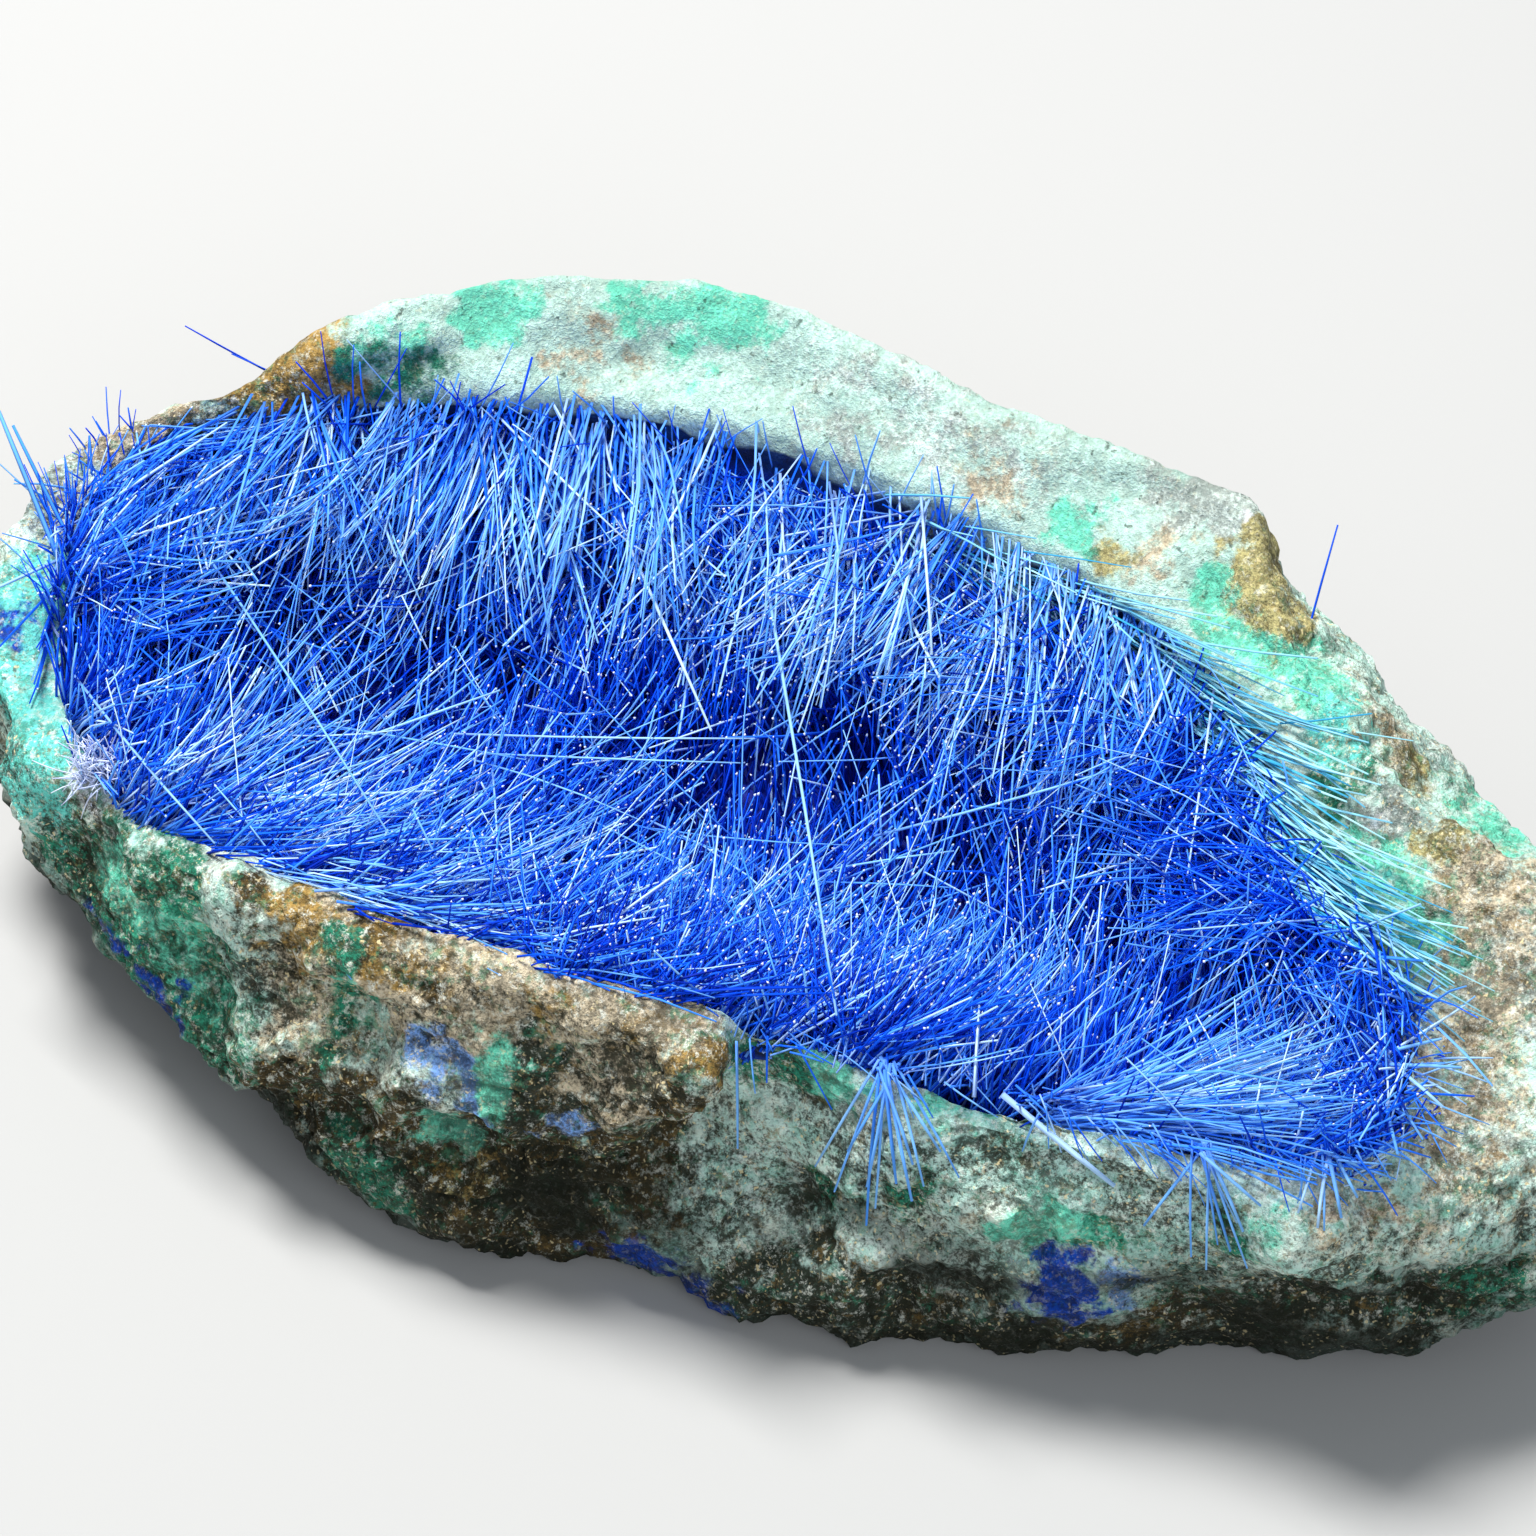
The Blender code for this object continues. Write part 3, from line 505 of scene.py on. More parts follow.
# Long needles that stand out of the mat: root pixel, tip pixel, the root's and the tip's height over
# the mat, shade, radius.
STRAYS = [
    (600, 480, 710, 725, -0.5, 0.9, 1.00, 0.075), (600, 420, 550, 550, -0.3, 0.6, 0.98, 0.11),
    (740, 440, 850, 1010, -0.8, 1.2, 0.88, 0.070), (190, 530, 400, 830, -0.5, 1.0, 0.84, 0.055),
    (85, 690, 205, 850, 0.0, 0.8, 0.88, 0.060), (890, 580, 942, 685, -0.3, 0.8, 1.00, 0.080),
    (830, 450, 882, 510, -0.3, 0.6, 0.97, 0.070), (900, 830, 1140, 770, -0.5, 0.8, 0.86, 0.060),
    (480, 735, 755, 745, -0.2, 0.5, 0.90, 0.050), (510, 755, 740, 765, -0.2, 0.5, 0.86, 0.045),
    (1290, 700, 1335, 525, -0.5, 5.0, 0.30, 0.055), (65, 575, 0, 410, -0.6, 3.6, 0.72, 0.130),
    (80, 560, 12, 425, -0.6, 3.0, 0.62, 0.100), (45, 566, -12, 592, 0.0, 0.8, 0.90, 0.080),
    (275, 375, 185, 328, 0.6, 2.6, 0.18, 0.050), (330, 400, 232, 352, 0.3, 2.0, 0.25, 0.045),
    (970, 510, 910, 390, 0.0, 3.0, 0.22, 0.045), (640, 400, 762, 424, 1.2, 2.0, 0.80, 0.045),
    (545, 395, 622, 412, 1.2, 1.8, 0.84, 0.045), (745, 440, 850, 452, 1.0, 1.6, 0.90, 0.045),
    (845, 455, 1010, 530, 0.6, 1.2, 0.95, 0.055), (700, 640, 800, 450, -0.5, 1.0, 0.90, 0.060),
    (545, 470, 600, 640, -0.5, 0.8, 0.86, 0.060), (350, 430, 395, 560, -0.4, 0.7, 0.90, 0.070),
    (760, 520, 720, 700, -0.4, 0.8, 0.92, 0.065), (1000, 580, 950, 740, -0.4, 0.9, 0.90, 0.065),
    (330, 750, 500, 690, -0.5, 0.9, 0.88, 0.060), (230, 800, 440, 790, -0.4, 0.6, 0.92, 0.060),
    (620, 960, 760, 880, -0.4, 0.9, 0.86, 0.060), (1060, 980, 1080, 820, -0.5, 0.9, 0.84, 0.060),
    (975, 1072, 978, 1005, -0.2, 0.8, 1.00, 0.090), (1150, 860, 1250, 740, -0.4, 1.0, 0.86, 0.055),
    (245, 408, 122, 462, 0.3, 1.2, 0.85, 0.090), (312, 518, 215, 549, -0.4, 0.8, 0.95, 0.070),
    (440, 400, 240, 440, 0.6, 1.0, 0.85, 0.055),
]
STRAY_BEND = 0.02

# Needles rooted on the rim that lie out over the stone: root pixel, then the pixel of each tip.
FANS = [
    (888, 1068, [(812, 1168), (832, 1188), (858, 1222), (878, 1208), (893, 1182), (907, 1197),
                 (925, 1182), (940, 1150), (962, 1172), (845, 1150), (868, 1186), (918, 1160)]),
    (1205, 1150, [(1180, 1250), (1196, 1264), (1214, 1240), (1236, 1262), (1242, 1226),
                  (1140, 1220), (1258, 1204), (1226, 1248)]),
    (1330, 1156, [(1310, 1225), (1325, 1228), (1340, 1215), (1354, 1196), (1296, 1210)]),
    (1375, 1070, [(1462, 1004), (1458, 1062), (1442, 1102), (1420, 1134), (1438, 1036), (1400, 1150)]),
    (1330, 950, [(1412, 900), (1420, 960), (1400, 990), (1440, 1010)]),
    (742, 1050, [(738, 1146)]),
]
FAN_RADIUS = 0.074
FAN_ROOT_LIFT = -0.6
FAN_LIFTS = (0.4, 0.8, 1.4, 2.0, 2.6, 3.2, 3.8)
FAN_CLEARANCE = 0.9
FAN_ROOT_SPREAD = (6.0, 4.0)
FAN_ROOT_RISE = 8.0
FAN_WIDTHS = (0.7, 1.2)
FAN_SHADE = (0.78, 0.08)
FAN_BEND = 0.03
CLEAR_FROM = 0.3
BROAD_NEEDLE = (1002, 1095, 1110, 1185, 0.14)
BROAD_LIFT = 2.0
BROAD_SHADE = 0.95

# Needles that grow along lines in the photograph. A line has its pixels, how many needles, the angle
# that they point at and how far they turn from it in degrees, and their least and most length in
# pixels. Then each piece: its lines, the height of its roots over the mat, and ranges of its radius
# and its shade, and how much it bends.
PALE_LINES = [
    ([(850, 492), (960, 548), (1060, 590), (1120, 632), (1170, 680), (1225, 755), (1270, 850), (1320, 920)],
     260, -33.0, 13.0, (80.0, 205.0)),
]
WISP_LINES = [([(58, 640), (62, 540), (90, 480), (150, 448)], 50, 104.0, 22.0, (25.0, 75.0))]
THREAD_LINES = [
    ([(150, 770), (200, 850), (310, 892), (420, 935), (540, 970)], 110, 36.0, 18.0, (110.0, 290.0)),
    ([(560, 980), (700, 1020), (860, 1060), (1000, 1090)], 80, 64.0, 22.0, (100.0, 260.0)),
    ([(190, 840), (330, 890), (520, 952), (690, 1002)], 70, -16.0, 7.0, (60.0, 150.0)),
    ([(760, 1032), (900, 1062), (1050, 1098)], 14, -12.0, 8.0, (50.0, 120.0)),
    ([(230, 720), (420, 740), (620, 820), (850, 880)], 26, 22.0, 60.0, (90.0, 220.0)),
    ([(250, 425), (450, 410), (640, 430), (850, 500), (1000, 585)], 70, -88.0, 36.0, (70.0, 170.0)),
]
NEAR_LINES = [
    ([(745, 1040), (880, 1062), (1000, 1090), (1100, 1120), (1200, 1146), (1300, 1158), (1380, 1130),
      (1430, 1060)], 150, -30.0, 36.0, (18.0, 75.0)),
]
FAR_LINES = [
    ([(300, 425), (480, 425), (620, 440), (760, 475), (900, 530), (1020, 592)],
     90, 112.0, 45.0, (35.0, 90.0)),
]
LINE_SCATTER = 8.0
WISPS = (WISP_LINES, -0.8, (0.028, 0.050), (0.22, 0.62), 0.08)
THREADS = (THREAD_LINES, -0.8, (0.028, 0.050), (0.66, 1.0), 0.08)
NEAR_FRINGE = (NEAR_LINES, -0.5, (0.030, 0.052), (0.40, 0.92), 0.06)
FAR_FRINGE = (FAR_LINES, -0.5, (0.030, 0.052), (0.12, 0.95), 0.06)
PALE_NEEDLES = (PALE_LINES, 0.0, (0.036, 0.070), (0.40, 1.0), 0.04)
WISP_LIFT = (0.3, 2.0)
THREAD_LIFT = (0.1, 0.9)
ROCK_CLEARANCE = (0.1, 0.5)
PALE_TIPS_OVER = 10.0

# A tuft of pale down on the left rim.
DOWN_PLACE = (97, 772)
DOWN_COUNT = 170
DOWN_LENGTH = (0.8, 1.5)
DOWN_SCATTER = 0.45
DOWN_WAY = np.array((0.0, -0.3, 1.0))
DOWN_RADIUS = 0.035
DOWN_SHADES = (0.82, 1.0)
DOWN_BEND = 0.15

BLUE_SHADES = [
    (0.00, (0.000, 0.018, 0.34)),
    (0.20, (0.001, 0.058, 0.74)),
    (0.45, (0.006, 0.138, 1.00)),
    (0.65, (0.065, 0.315, 1.00)),
    (0.85, (0.220, 0.530, 1.00)),
    (1.00, (0.600, 0.820, 1.00)),
]
WHITE_SHADES = [
    (0.00, (0.10, 0.20, 0.70)),
    (0.60, (0.34, 0.48, 0.95)),
    (1.00, (0.80, 0.86, 1.00)),
]
CYAN_SHADES = [
    (0.00, (0.004, 0.080, 0.22)),
    (0.50, (0.050, 0.420, 0.70)),
    (1.00, (0.480, 0.880, 0.95)),
]

# How the needles lie in the photograph: pixel, angle of the tips' direction to the right-hand way,
# how far they come forward (1 is upright where the angle is 90), and shade from deep to pale.
# The shade is partly painted light and shade: paler on the far wall, which the light falls on, deeper in the
# middle.
FLOWS = [
    (110, 470, 100, 1.00, 0.50), (90, 620, 88, 0.90, 0.42), (140, 720, 70, 0.80, 0.46),
    (220, 470, 232, 0.85, 0.66), (330, 480, 240, 0.85, 0.70), (300, 600, 236, 0.80, 0.42),
    (180, 600, 225, 0.80, 0.46), (450, 480, 248, 0.85, 0.72), (560, 520, 262, 0.85, 0.72),
    (660, 520, 255, 0.90, 0.72), (760, 540, 250, 0.90, 0.74), (880, 580, 262, 0.90, 0.74),
    (980, 620, 268, 0.90, 0.74), (1080, 660, 255, 0.90, 0.64), (1170, 720, 245, 0.90, 0.52),
    (420, 640, 240, 0.85, 0.28), (560, 660, 88, 0.75, 0.29), (700, 690, 95, 0.80, 0.26),
    (850, 700, 86, 0.80, 0.27), (1000, 740, 95, 0.80, 0.31), (230, 790, 12, 0.45, 0.42),
    (340, 740, 22, 0.50, 0.28), (330, 850, 10, 0.40, 0.45), (450, 800, 34, 0.55, 0.30),
    (450, 900, 16, 0.40, 0.46), (570, 870, 50, 0.60, 0.34), (560, 960, 38, 0.45, 0.46),
    (600, 770, 86, 0.70, 0.27), (740, 780, 92, 0.75, 0.26), (880, 800, 88, 0.75, 0.28),
    (680, 850, 74, 0.65, 0.32), (700, 950, 64, 0.55, 0.46), (820, 900, 72, 0.65, 0.34),
    (880, 1000, 64, 0.50, 0.44), (960, 880, 80, 0.65, 0.32), (1000, 1010, 68, 0.50, 0.44),
    (1100, 900, 90, 0.70, 0.36), (1130, 1030, 60, 0.45, 0.46), (1200, 830, 105, 0.75, 0.48),
    (1260, 960, 98, 0.70, 0.48), (1230, 1090, 20, 0.35, 0.70), (1330, 1100, 12, 0.40, 0.62),
    (1340, 980, 120, 0.80, 0.50), (1390, 1060, 340, 0.80, 0.52),
]
FLOW_REACH = 60.0
FLOW_SHARE = 0.88
FLOW_AHEAD = 5.0
DOWNWARD = -0.5

# Looks that wander between two shades: name, scale and octaves of the noise, shades, roughness.
# The bed's deep navy is partly painted shade of the depths of the mat.
BED_LOOK = ("azurite_bed", 1300.0, 3.0, [(0.35, (0.0003, 0.010, 0.26)), (0.65, (0.001, 0.032, 0.60))], 0.7)
# The tips' near-white look is a painted highlight.
TIP_HIGHLIGHT_LOOK = ("painted_tip_highlight", 900.0, 1.0, [(0.35, (0.45, 0.68, 0.98)), (0.60, (0.93, 0.96, 1.0))], 0.25)
FLOOR_LOOK = ("pale_floor", 3.0, 2.0, [(0.3, (0.43, 0.43, 0.425)), (0.7, (0.46, 0.46, 0.455))], 0.9)

# A needle: three sides, four rings from root to tip with their widths, and its place on the map.
RING = 3
RING_STEPS = (0.0, 0.34, 0.67, 1.0)
RING_WIDTHS = (1.0, 1.0, 0.92, 0.66)
SKEW = np.array((0.31, 0.17, 0.94))
SHADE_STEP = 0.0012
SHADE_RANGE = (0.01, 0.98)
TIP_LEVEL = 0.9
# Painted shade towards the root: where wall needles start on it, how dark, and where it fades.
WALL_START = 0.42
ROOT_PAINTED_SHADE = 0.30
ROOT_FADE = (0.05, 0.75)
NEEDLE_ROUGHNESS = 0.5
NEEDLE_SPECULAR = 0.08
GRAIN_SIDES = 4
GRAIN_LONG = 1.5
MAT_PIECES = 3

# Studio: the floor, and each light's place, size, power and colour.
FLOOR_SIZE = 4.0
LIGHTS = {
    "key": ((-130.0, 40.0, 340.0), 110.0, 2.30, (1.0, 0.99, 0.97)),
    "fill": ((240.0, -260.0, 240.0), 260.0, 0.62, (0.90, 0.95, 1.0)),
}
SKY = (0.82, 0.88, 0.95, 1.0)
SKY_POWER = 0.30


def unit(vectors):
    """The vectors, each made one long."""
    return vectors / np.maximum(np.linalg.norm(vectors, axis=-1, keepdims=True), TINY)


def ramped(values, start, span):
    """0 up to the start, 1 from one span further on, even between."""
    return np.clip((values - start) / span, 0.0, 1.0)


def camera_axes():
    """The camera's right, up and backward directions."""
    a = math.radians(CAMERA_AZIMUTH)
    e = math.radians(CAMERA_ELEVATION)
    back = Vector((math.sin(a) * math.cos(e), -math.cos(a) * math.cos(e), math.sin(e)))
    right = Vector((math.cos(a), math.sin(a), 0.0))
    return right, back.cross(right), back


def sight(x, y):
    """The line of sight through a pixel of the photograph: where it starts, and its direction."""
    right, up, back = camera_axes()
    across = (x / PICTURE - 0.5) * CAMERA_SPAN
    above = (0.5 - y / PICTURE) * CAMERA_SPAN
    return CAMERA_TARGET + back * CAMERA_DISTANCE, right * across + up * above - back * CAMERA_DISTANCE


def picture_of(points):
    """The photograph's pixels at which points are seen."""
    right, up, back = (np.array(axis) for axis in camera_axes())
    away = points - np.array(CAMERA_TARGET)
    depth = CAMERA_DISTANCE - away @ back
    scale = PICTURE / CAMERA_SPAN * CAMERA_DISTANCE / depth
    return np.stack([PICTURE / 2 + away @ right * scale, PICTURE / 2 - away @ up * scale], axis=-1)


def seen_at(tree, x, y):
    """The point of the rock that a pixel of the photograph shows, or None."""
    start, direction = sight(x, y)
    return tree.ray_cast(start, direction)[0]


def seen_at_height(x, y, height):
    """The point at a height above the table that a pixel of the photograph shows."""
    start, direction = sight(x, y)
    return start + direction * ((height - start.z) / direction.z)


def catmull_rom(a, b, c, d, t):
    """A point of the smooth curve from b to c, which comes from a and goes on to d."""
    bend = 2 * a - 5 * b + 4 * c - d
    turn = 3 * b - a - 3 * c + d
    return 0.5 * (2 * b + (c - a) * t + bend * t ** 2 + turn * t ** 3)


def rim_outline():
    """The hollow's rim as a smooth closed outline."""
    points = [np.array(p) + RIM_ORIGIN for p in RIM]
    outline = []
    for i in range(len(points)):
        four = [points[(i + k) % len(points)] for k in (-1, 0, 1, 2)]
        outline += [catmull_rom(*four, t / RIM_STEPS) for t in range(RIM_STEPS)]
    return np.array(outline)


def inside(points, outline):
    """Which of the points lie inside the closed outline, in plan."""
    a = outline
    b = np.roll(outline, -1, axis=0)
    y = points[:, 1, None]
    crosses = (a[:, 1] > y) != (b[:, 1] > y)
    rise = np.where(b[:, 1] == a[:, 1], 1.0, b[:, 1] - a[:, 1])
    x = a[:, 0] + (y - a[:, 1]) * (b[:, 0] - a[:, 0]) / rise
    return ((crosses & (x > points[:, 0, None])).sum(axis=1) % 2) == 1


def on_segment(points, a, b):
    """How far along a segment the place nearest to each point is, from 0 to 1, and its distance."""
    along = b - a
    t = np.clip(((points - a) @ along) / (along @ along), 0.0, 1.0)
    return t, np.linalg.norm(points - a - t[:, None] * along, axis=1)


def nearest_rim(points, outline):
    """Distance in plan from each point to the outline, and the rim's height there."""
    distance = np.full(len(points), FAR_AWAY)
    height = np.zeros(len(points))
    for a, b in zip(outline, np.roll(outline, -1, axis=0)):
        t, away = on_segment(points[:, :2], a[:2], b[:2])
        height = np.where(away < distance, a[2] + (b[2] - a[2]) * t, height)
        distance = np.minimum(distance, away)
    return distance, height


def cad_mesh(node):
    """A CAD node's surface in millimetres, welded and in triangles."""
    mesh = node.data
    places = np.empty(len(mesh.vertices) * 3)
    mesh.vertices.foreach_get("co", places)
    places = places.reshape(-1, 3) / MM
    shell = bmesh.new()
    corners = [shell.verts.new(p) for p in places]
    for face in mesh.polygons:
        shell.faces.new([corners[i] for i in face.vertices])
    bmesh.ops.remove_doubles(shell, verts=shell.verts[:], dist=WELD)
    bmesh.ops.triangulate(shell, faces=shell.faces[:])
    return shell


def arrays(shell):
    """The places and triangles of a bmesh."""
    shell.verts.index_update()
    places = np.array([v.co[:] for v in shell.verts])
    faces = np.array([[v.index for v in f.verts] for f in shell.faces])
    return places, faces


def in_order(triangles):
    """The triangles in an order that is the same each run, each from its first corner on."""
    steps = triangles.argmin(axis=1)[:, None] + np.arange(3)
    triangles = np.take_along_axis(triangles, steps % 3, axis=1)
    return triangles[np.lexsort(triangles.T[::-1])]


def refine(shell, longest):
    """Halve every edge of the triangle mesh that is longer than the limit."""
    edges = [e for e in shell.edges if e.calc_length() > longest]
    bmesh.ops.subdivide_edges(shell, edges=edges, cuts=1)
    bmesh.ops.triangulate(shell, faces=shell.faces[:])


def smoothed(places, faces, rounds, held):
    """Draw each point towards the mean of its neighbours; held points stay."""
    pairs = np.concatenate([faces[:, [0, 1]], faces[:, [1, 2]], faces[:, [2, 0]]])
    pairs = np.concatenate([pairs, pairs[:, ::-1]])
    count = np.bincount(pairs[:, 0], minlength=len(places))[:, None]
    for _ in range(rounds):
        total = np.zeros_like(places)
        np.add.at(total, pairs[:, 0], places[pairs[:, 1]])
        moved = places * 0.5 + total / count * 0.5
        places = np.where(held[:, None], places, moved)
    return places


def face_normals(places, faces):
    """Normal of each triangle, twice as long as its area is large."""
    corner = places[faces]
    return np.cross(corner[:, 1] - corner[:, 0], corner[:, 2] - corner[:, 0])


def point_normals(places, faces):
    """Mean normal of the faces round each point."""
    across = face_normals(places, faces)
    normals = np.zeros_like(places)
    for k in range(3):
        np.add.at(normals, faces[:, k], across)
    return unit(normals)


def chipped(p, size):
    """Height of flat chips of one size, each tilted its own way, and the cracks between them."""
    distances, cells = noise.voronoi(p / size)
    cell = cells[0]
    tilt = Vector([noise.noise(cell * TILT_SCALE + Vector((k, -k, 2.0))) for k in TILT_TURNS])
    crack = max(0.0, 1.0 - (distances[1] - distances[0]) * CRACK_SHARPNESS)
    return tilt.dot(p / size - cell), crack


def waves(p, rows, shift=Vector()):
    """Height of smooth lumps, added up over the rows of size and height."""
    return sum(noise.noise(p / size + shift) * height for size, height in rows)


def rough(point):
    """Height of the broken stone over its plain form: ledges, chips, lumps and grains."""
    p = point + SKIN_SEED
    swell = waves(p, SWELLS)
    p.z *= LAYERING
    chip, crack = chipped(p, CHIP[0])
    flake, _ = chipped(p + SKIN_SEED, FLAKE[0])
    ledge = (0.5 - abs(noise.noise(p / LEDGE[0] + LEDGE_TURN))) * LEDGE[1]
    return swell + chip * CHIP[1] + flake * FLAKE[1] - crack * CRACK_DEPTH + ledge + waves(p, GRAINS)


def skin_heights(places, share):
    """Height of the fine skin at each point, and of that share of the broken relief."""
    heights = np.empty(len(places))
    for i, place in enumerate(places):
        point = Vector(place)
        heights[i] = rough(point) * share[i] + waves(point + SKIN_SEED, FINE_LUMPS)
    return heights


def warp(places):
    """Small shifts that make the stains' outlines wander."""
    shifts = np.empty_like(places)
    for i, place in enumerate(places):
        p = Vector(place)
        shifts[i] = [waves(p, WARPS, turn) for turn in WARP_TURNS]
    return shifts


def patch_masks(tree, places):
    """How strongly each kind of stain or painted shade covers each point of the rock, from 0 to 1."""
    masks = {kind: np.zeros(len(places)) for kind in COLOURS}
    spots = list(HIDDEN_PATCHES)
    for kind, rows in PATCHES.items():
        for x, y, radius, strength in rows:
            place = seen_at(tree, x, y)
            if place is not None:
                spots.append((kind, tuple(place), radius, strength))
    wander = places + warp(places)
    for kind, place, radius, strength in spots:
        reach = 1.0 - np.linalg.norm(wander - np.array(place), axis=1) / (radius * SPOT_REACH)
        cover = strength * np.clip(reach * SPOT_FIRMNESS, 0.0, 1.0)
        masks[kind] = 1.0 - (1.0 - masks[kind]) * (1.0 - cover)
    return masks


def stroke_heights(tree, places):
    """Height that the ridges and grooves add at each point."""
    heights = np.zeros(len(places))
    for pixels, width, height in STROKES:
        line = [seen_at(tree, x, y) for x, y in pixels]
        line = np.array([tuple(p) for p in line if p is not None])
        nearest = np.full(len(places), FAR_AWAY)
        for a, b in zip(line, line[1:]):
            nearest = np.minimum(nearest, on_segment(places, a, b)[1])
        heights += height * np.exp(-(nearest / width) ** 2)
    return heights


def make_mesh(name, places, faces):
    """A mesh of triangles from places in millimetres."""
    mesh = bpy.data.meshes.new(name)
    mesh.vertices.add(len(places))
    mesh.vertices.foreach_set("co", (places * MM).astype(np.float32).ravel())
    mesh.loops.add(len(faces) * 3)
    mesh.loops.foreach_set("vertex_index", faces.astype(np.int32).ravel())
    mesh.polygons.add(len(faces))
    mesh.polygons.foreach_set("loop_start", np.arange(0, len(faces) * 3, 3, dtype=np.int32))
    mesh.update(calc_edges=True)
    return mesh


def add_piece(name, mesh, look, node):
    """The mesh as a piece that rides on the root body in place of a solid."""
    piece = bpy.data.objects.new(name, mesh)
    bpy.context.scene.collection.objects.link(piece)
    mesh.materials.append(look)
    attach(piece, "root")
    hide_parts(node)


def hollow_masks(places, normals, outline):
    """The masks of the hollow's lining and of the hollow, and each point's distance from the rim."""
    facing_in = -(normals[:, :2] * places[:, :2]).sum(axis=1) + INWARD_SLOPE * normals[:, 2] > 0.0
    in_hollow = inside(places, outline) & (places[:, 2] > HOLLOW_LOWEST) & facing_in
    in_hollow &= normals[:, 2] > HOLLOW_TURN
    from_rim, rim_height = nearest_rim(places, outline)
    below_rim = rim_height - places[:, 2]
    lining = np.where(in_hollow, ramped(below_rim, *LINING_RAMP), 0.0)
    edge = ramped(from_rim, *EDGE_RAMP) * ramped(below_rim, *LIP_RAMP)
    return {"lining": lining, "hollow": np.where(in_hollow, edge, 0.0)}, from_rim


def make_rock(node, tree, outline):
    """The host rock with its broken surface, and the mask of each stain on it."""
    shell = cad_mesh(node)
    for longest in ROCK_EDGES:
        refine(shell, longest)
    places, faces = arrays(shell)
    shell.free()
    seat = places[:, 2] < SEAT_BELOW
    places = smoothed(places, faces, ROCK_SMOOTHING, seat)
    normals = point_normals(places, faces)
    masks = patch_masks(tree, places)
    hollow, from_rim = hollow_masks(places, normals, outline)
    masks.update(hollow)
    smooth = np.clip(masks["pale"] + masks["turquoise"] * TURQUOISE_SMOOTH, 0.0, 1.0)
    top = ramped(normals[:, 2], *TOP_RAMP)
    rim_share = RIM_BROKEN + (1.0 - RIM_BROKEN) * ramped(from_rim, *BROKEN_RAMP)
    heights = skin_heights(places, (1.0 - CRUST_SMOOTH * smooth) * (1.0 - TOP_SMOOTH * top) * rim_share)
    # The raised grains, which get painted light.
    masks["raised"] = np.clip(0.5 + (heights - RAISED_FROM) * RAISED_RISE, 0.0, 1.0)
    masks["top"] = top
    # Painted shade on the underside: faces that turn down, low on the stone.
    low = ramped(UNDER_BELOW - places[:, 2], 0.0, UNDER_FADE)
    masks["under"] = ramped(UNDER_FACING - normals[:, 2], 0.0, UNDER_TURN) * low
    keep = np.clip(1.0 - masks["hollow"], HOLLOW_RELIEF, 1.0) * np.where(seat, 0.0, 1.0)
    heights += stroke_heights(tree, places + STROKE_WANDER * warp(places))
    places = places + normals * (heights * keep)[:, None]
    places[:, 2] = np.maximum(places[:, 2], 0.0)
    mesh = make_mesh("matrix_rock_surface", places, faces)
    mesh.polygons.foreach_set("use_smooth", smooth[faces[:, 0]] > SHADED_SMOOTH)
    for kind, values in masks.items():
        layer = mesh.attributes.new(kind, "FLOAT", "POINT")
        layer.data.foreach_set("value", values.astype(np.float32))
    add_piece("host_rock", mesh, rock_look(), node.name)


class Nodes:
    """Short names for building a material's nodes."""

    def __init__(self, name):
        self.material = bpy.data.materials.new(name)
        self.material.use_nodes = True
        self.tree = self.material.node_tree
        self.shader = self.tree.nodes["Principled BSDF"]

    def add(self, kind, **settings):
        node = self.tree.nodes.new(kind)
        for key, value in settings.items():
            setattr(node, key, value)
        return node

    def link(self, value, socket):
        if isinstance(value, bpy.types.NodeSocket):
            self.tree.links.new(value, socket)
        else:
            socket.default_value = value

    def noise(self, scale, detail=2.0, roughness=0.5, turn=0.0):
        node = self.add("ShaderNodeTexNoise", noise_dimensions="4D")
        node.inputs["W"].default_value = turn
        node.inputs["Scale"].default_value = scale
        node.inputs["Detail"].default_value = detail
        node.inputs["Roughness"].default_value = roughness
        self.tree.links.new(self.place, node.inputs["Vector"])
        return node.outputs["Fac"]

    def math(self, operation, a, b):
        node = self.add("ShaderNodeMath", operation=operation)
        self.link(a, node.inputs[0])
        self.link(b, node.inputs[1])
        return node.outputs[0]

    def times(self, a, b):
        return self.math("MULTIPLY", a, b)

    def less(self, a, b):
        return self.math("SUBTRACT", a, b)

    def step(self, value, low, high):
        """0 below low, 1 above high, smooth between."""
        node = self.add("ShaderNodeMapRange", interpolation_type="SMOOTHSTEP")
        self.link(value, node.inputs["Value"])
        node.inputs["From Min"].default_value = low
        node.inputs["From Max"].default_value = high
        return node.outputs["Result"]

    def mix(self, factor, a, b):
        """Colour a under colour b; a colour is a socket or its three parts."""
        node = self.add("ShaderNodeMix", data_type="RGBA")
        self.link(factor, node.inputs["Factor"])
        for colour, side in ((a, "A"), (b, "B")):
            self.link((*colour, 1.0) if isinstance(colour, tuple) else colour, node.inputs[side])
        return node.outputs["Result"]

    def ramp(self, value, stops):
        node = self.add("ShaderNodeValToRGB")
        elements = node.color_ramp.elements
        while len(elements) < len(stops):
            elements.new(0.5)
        for element, (position, colour) in zip(elements, stops):
            element.position = position
            element.color = (*colour, 1.0)
        self.tree.links.new(value, node.inputs["Fac"])
        return node.outputs["Color"]

    def mask(self, name):
        return self.add("ShaderNodeAttribute", attribute_name=name).outputs["Fac"]


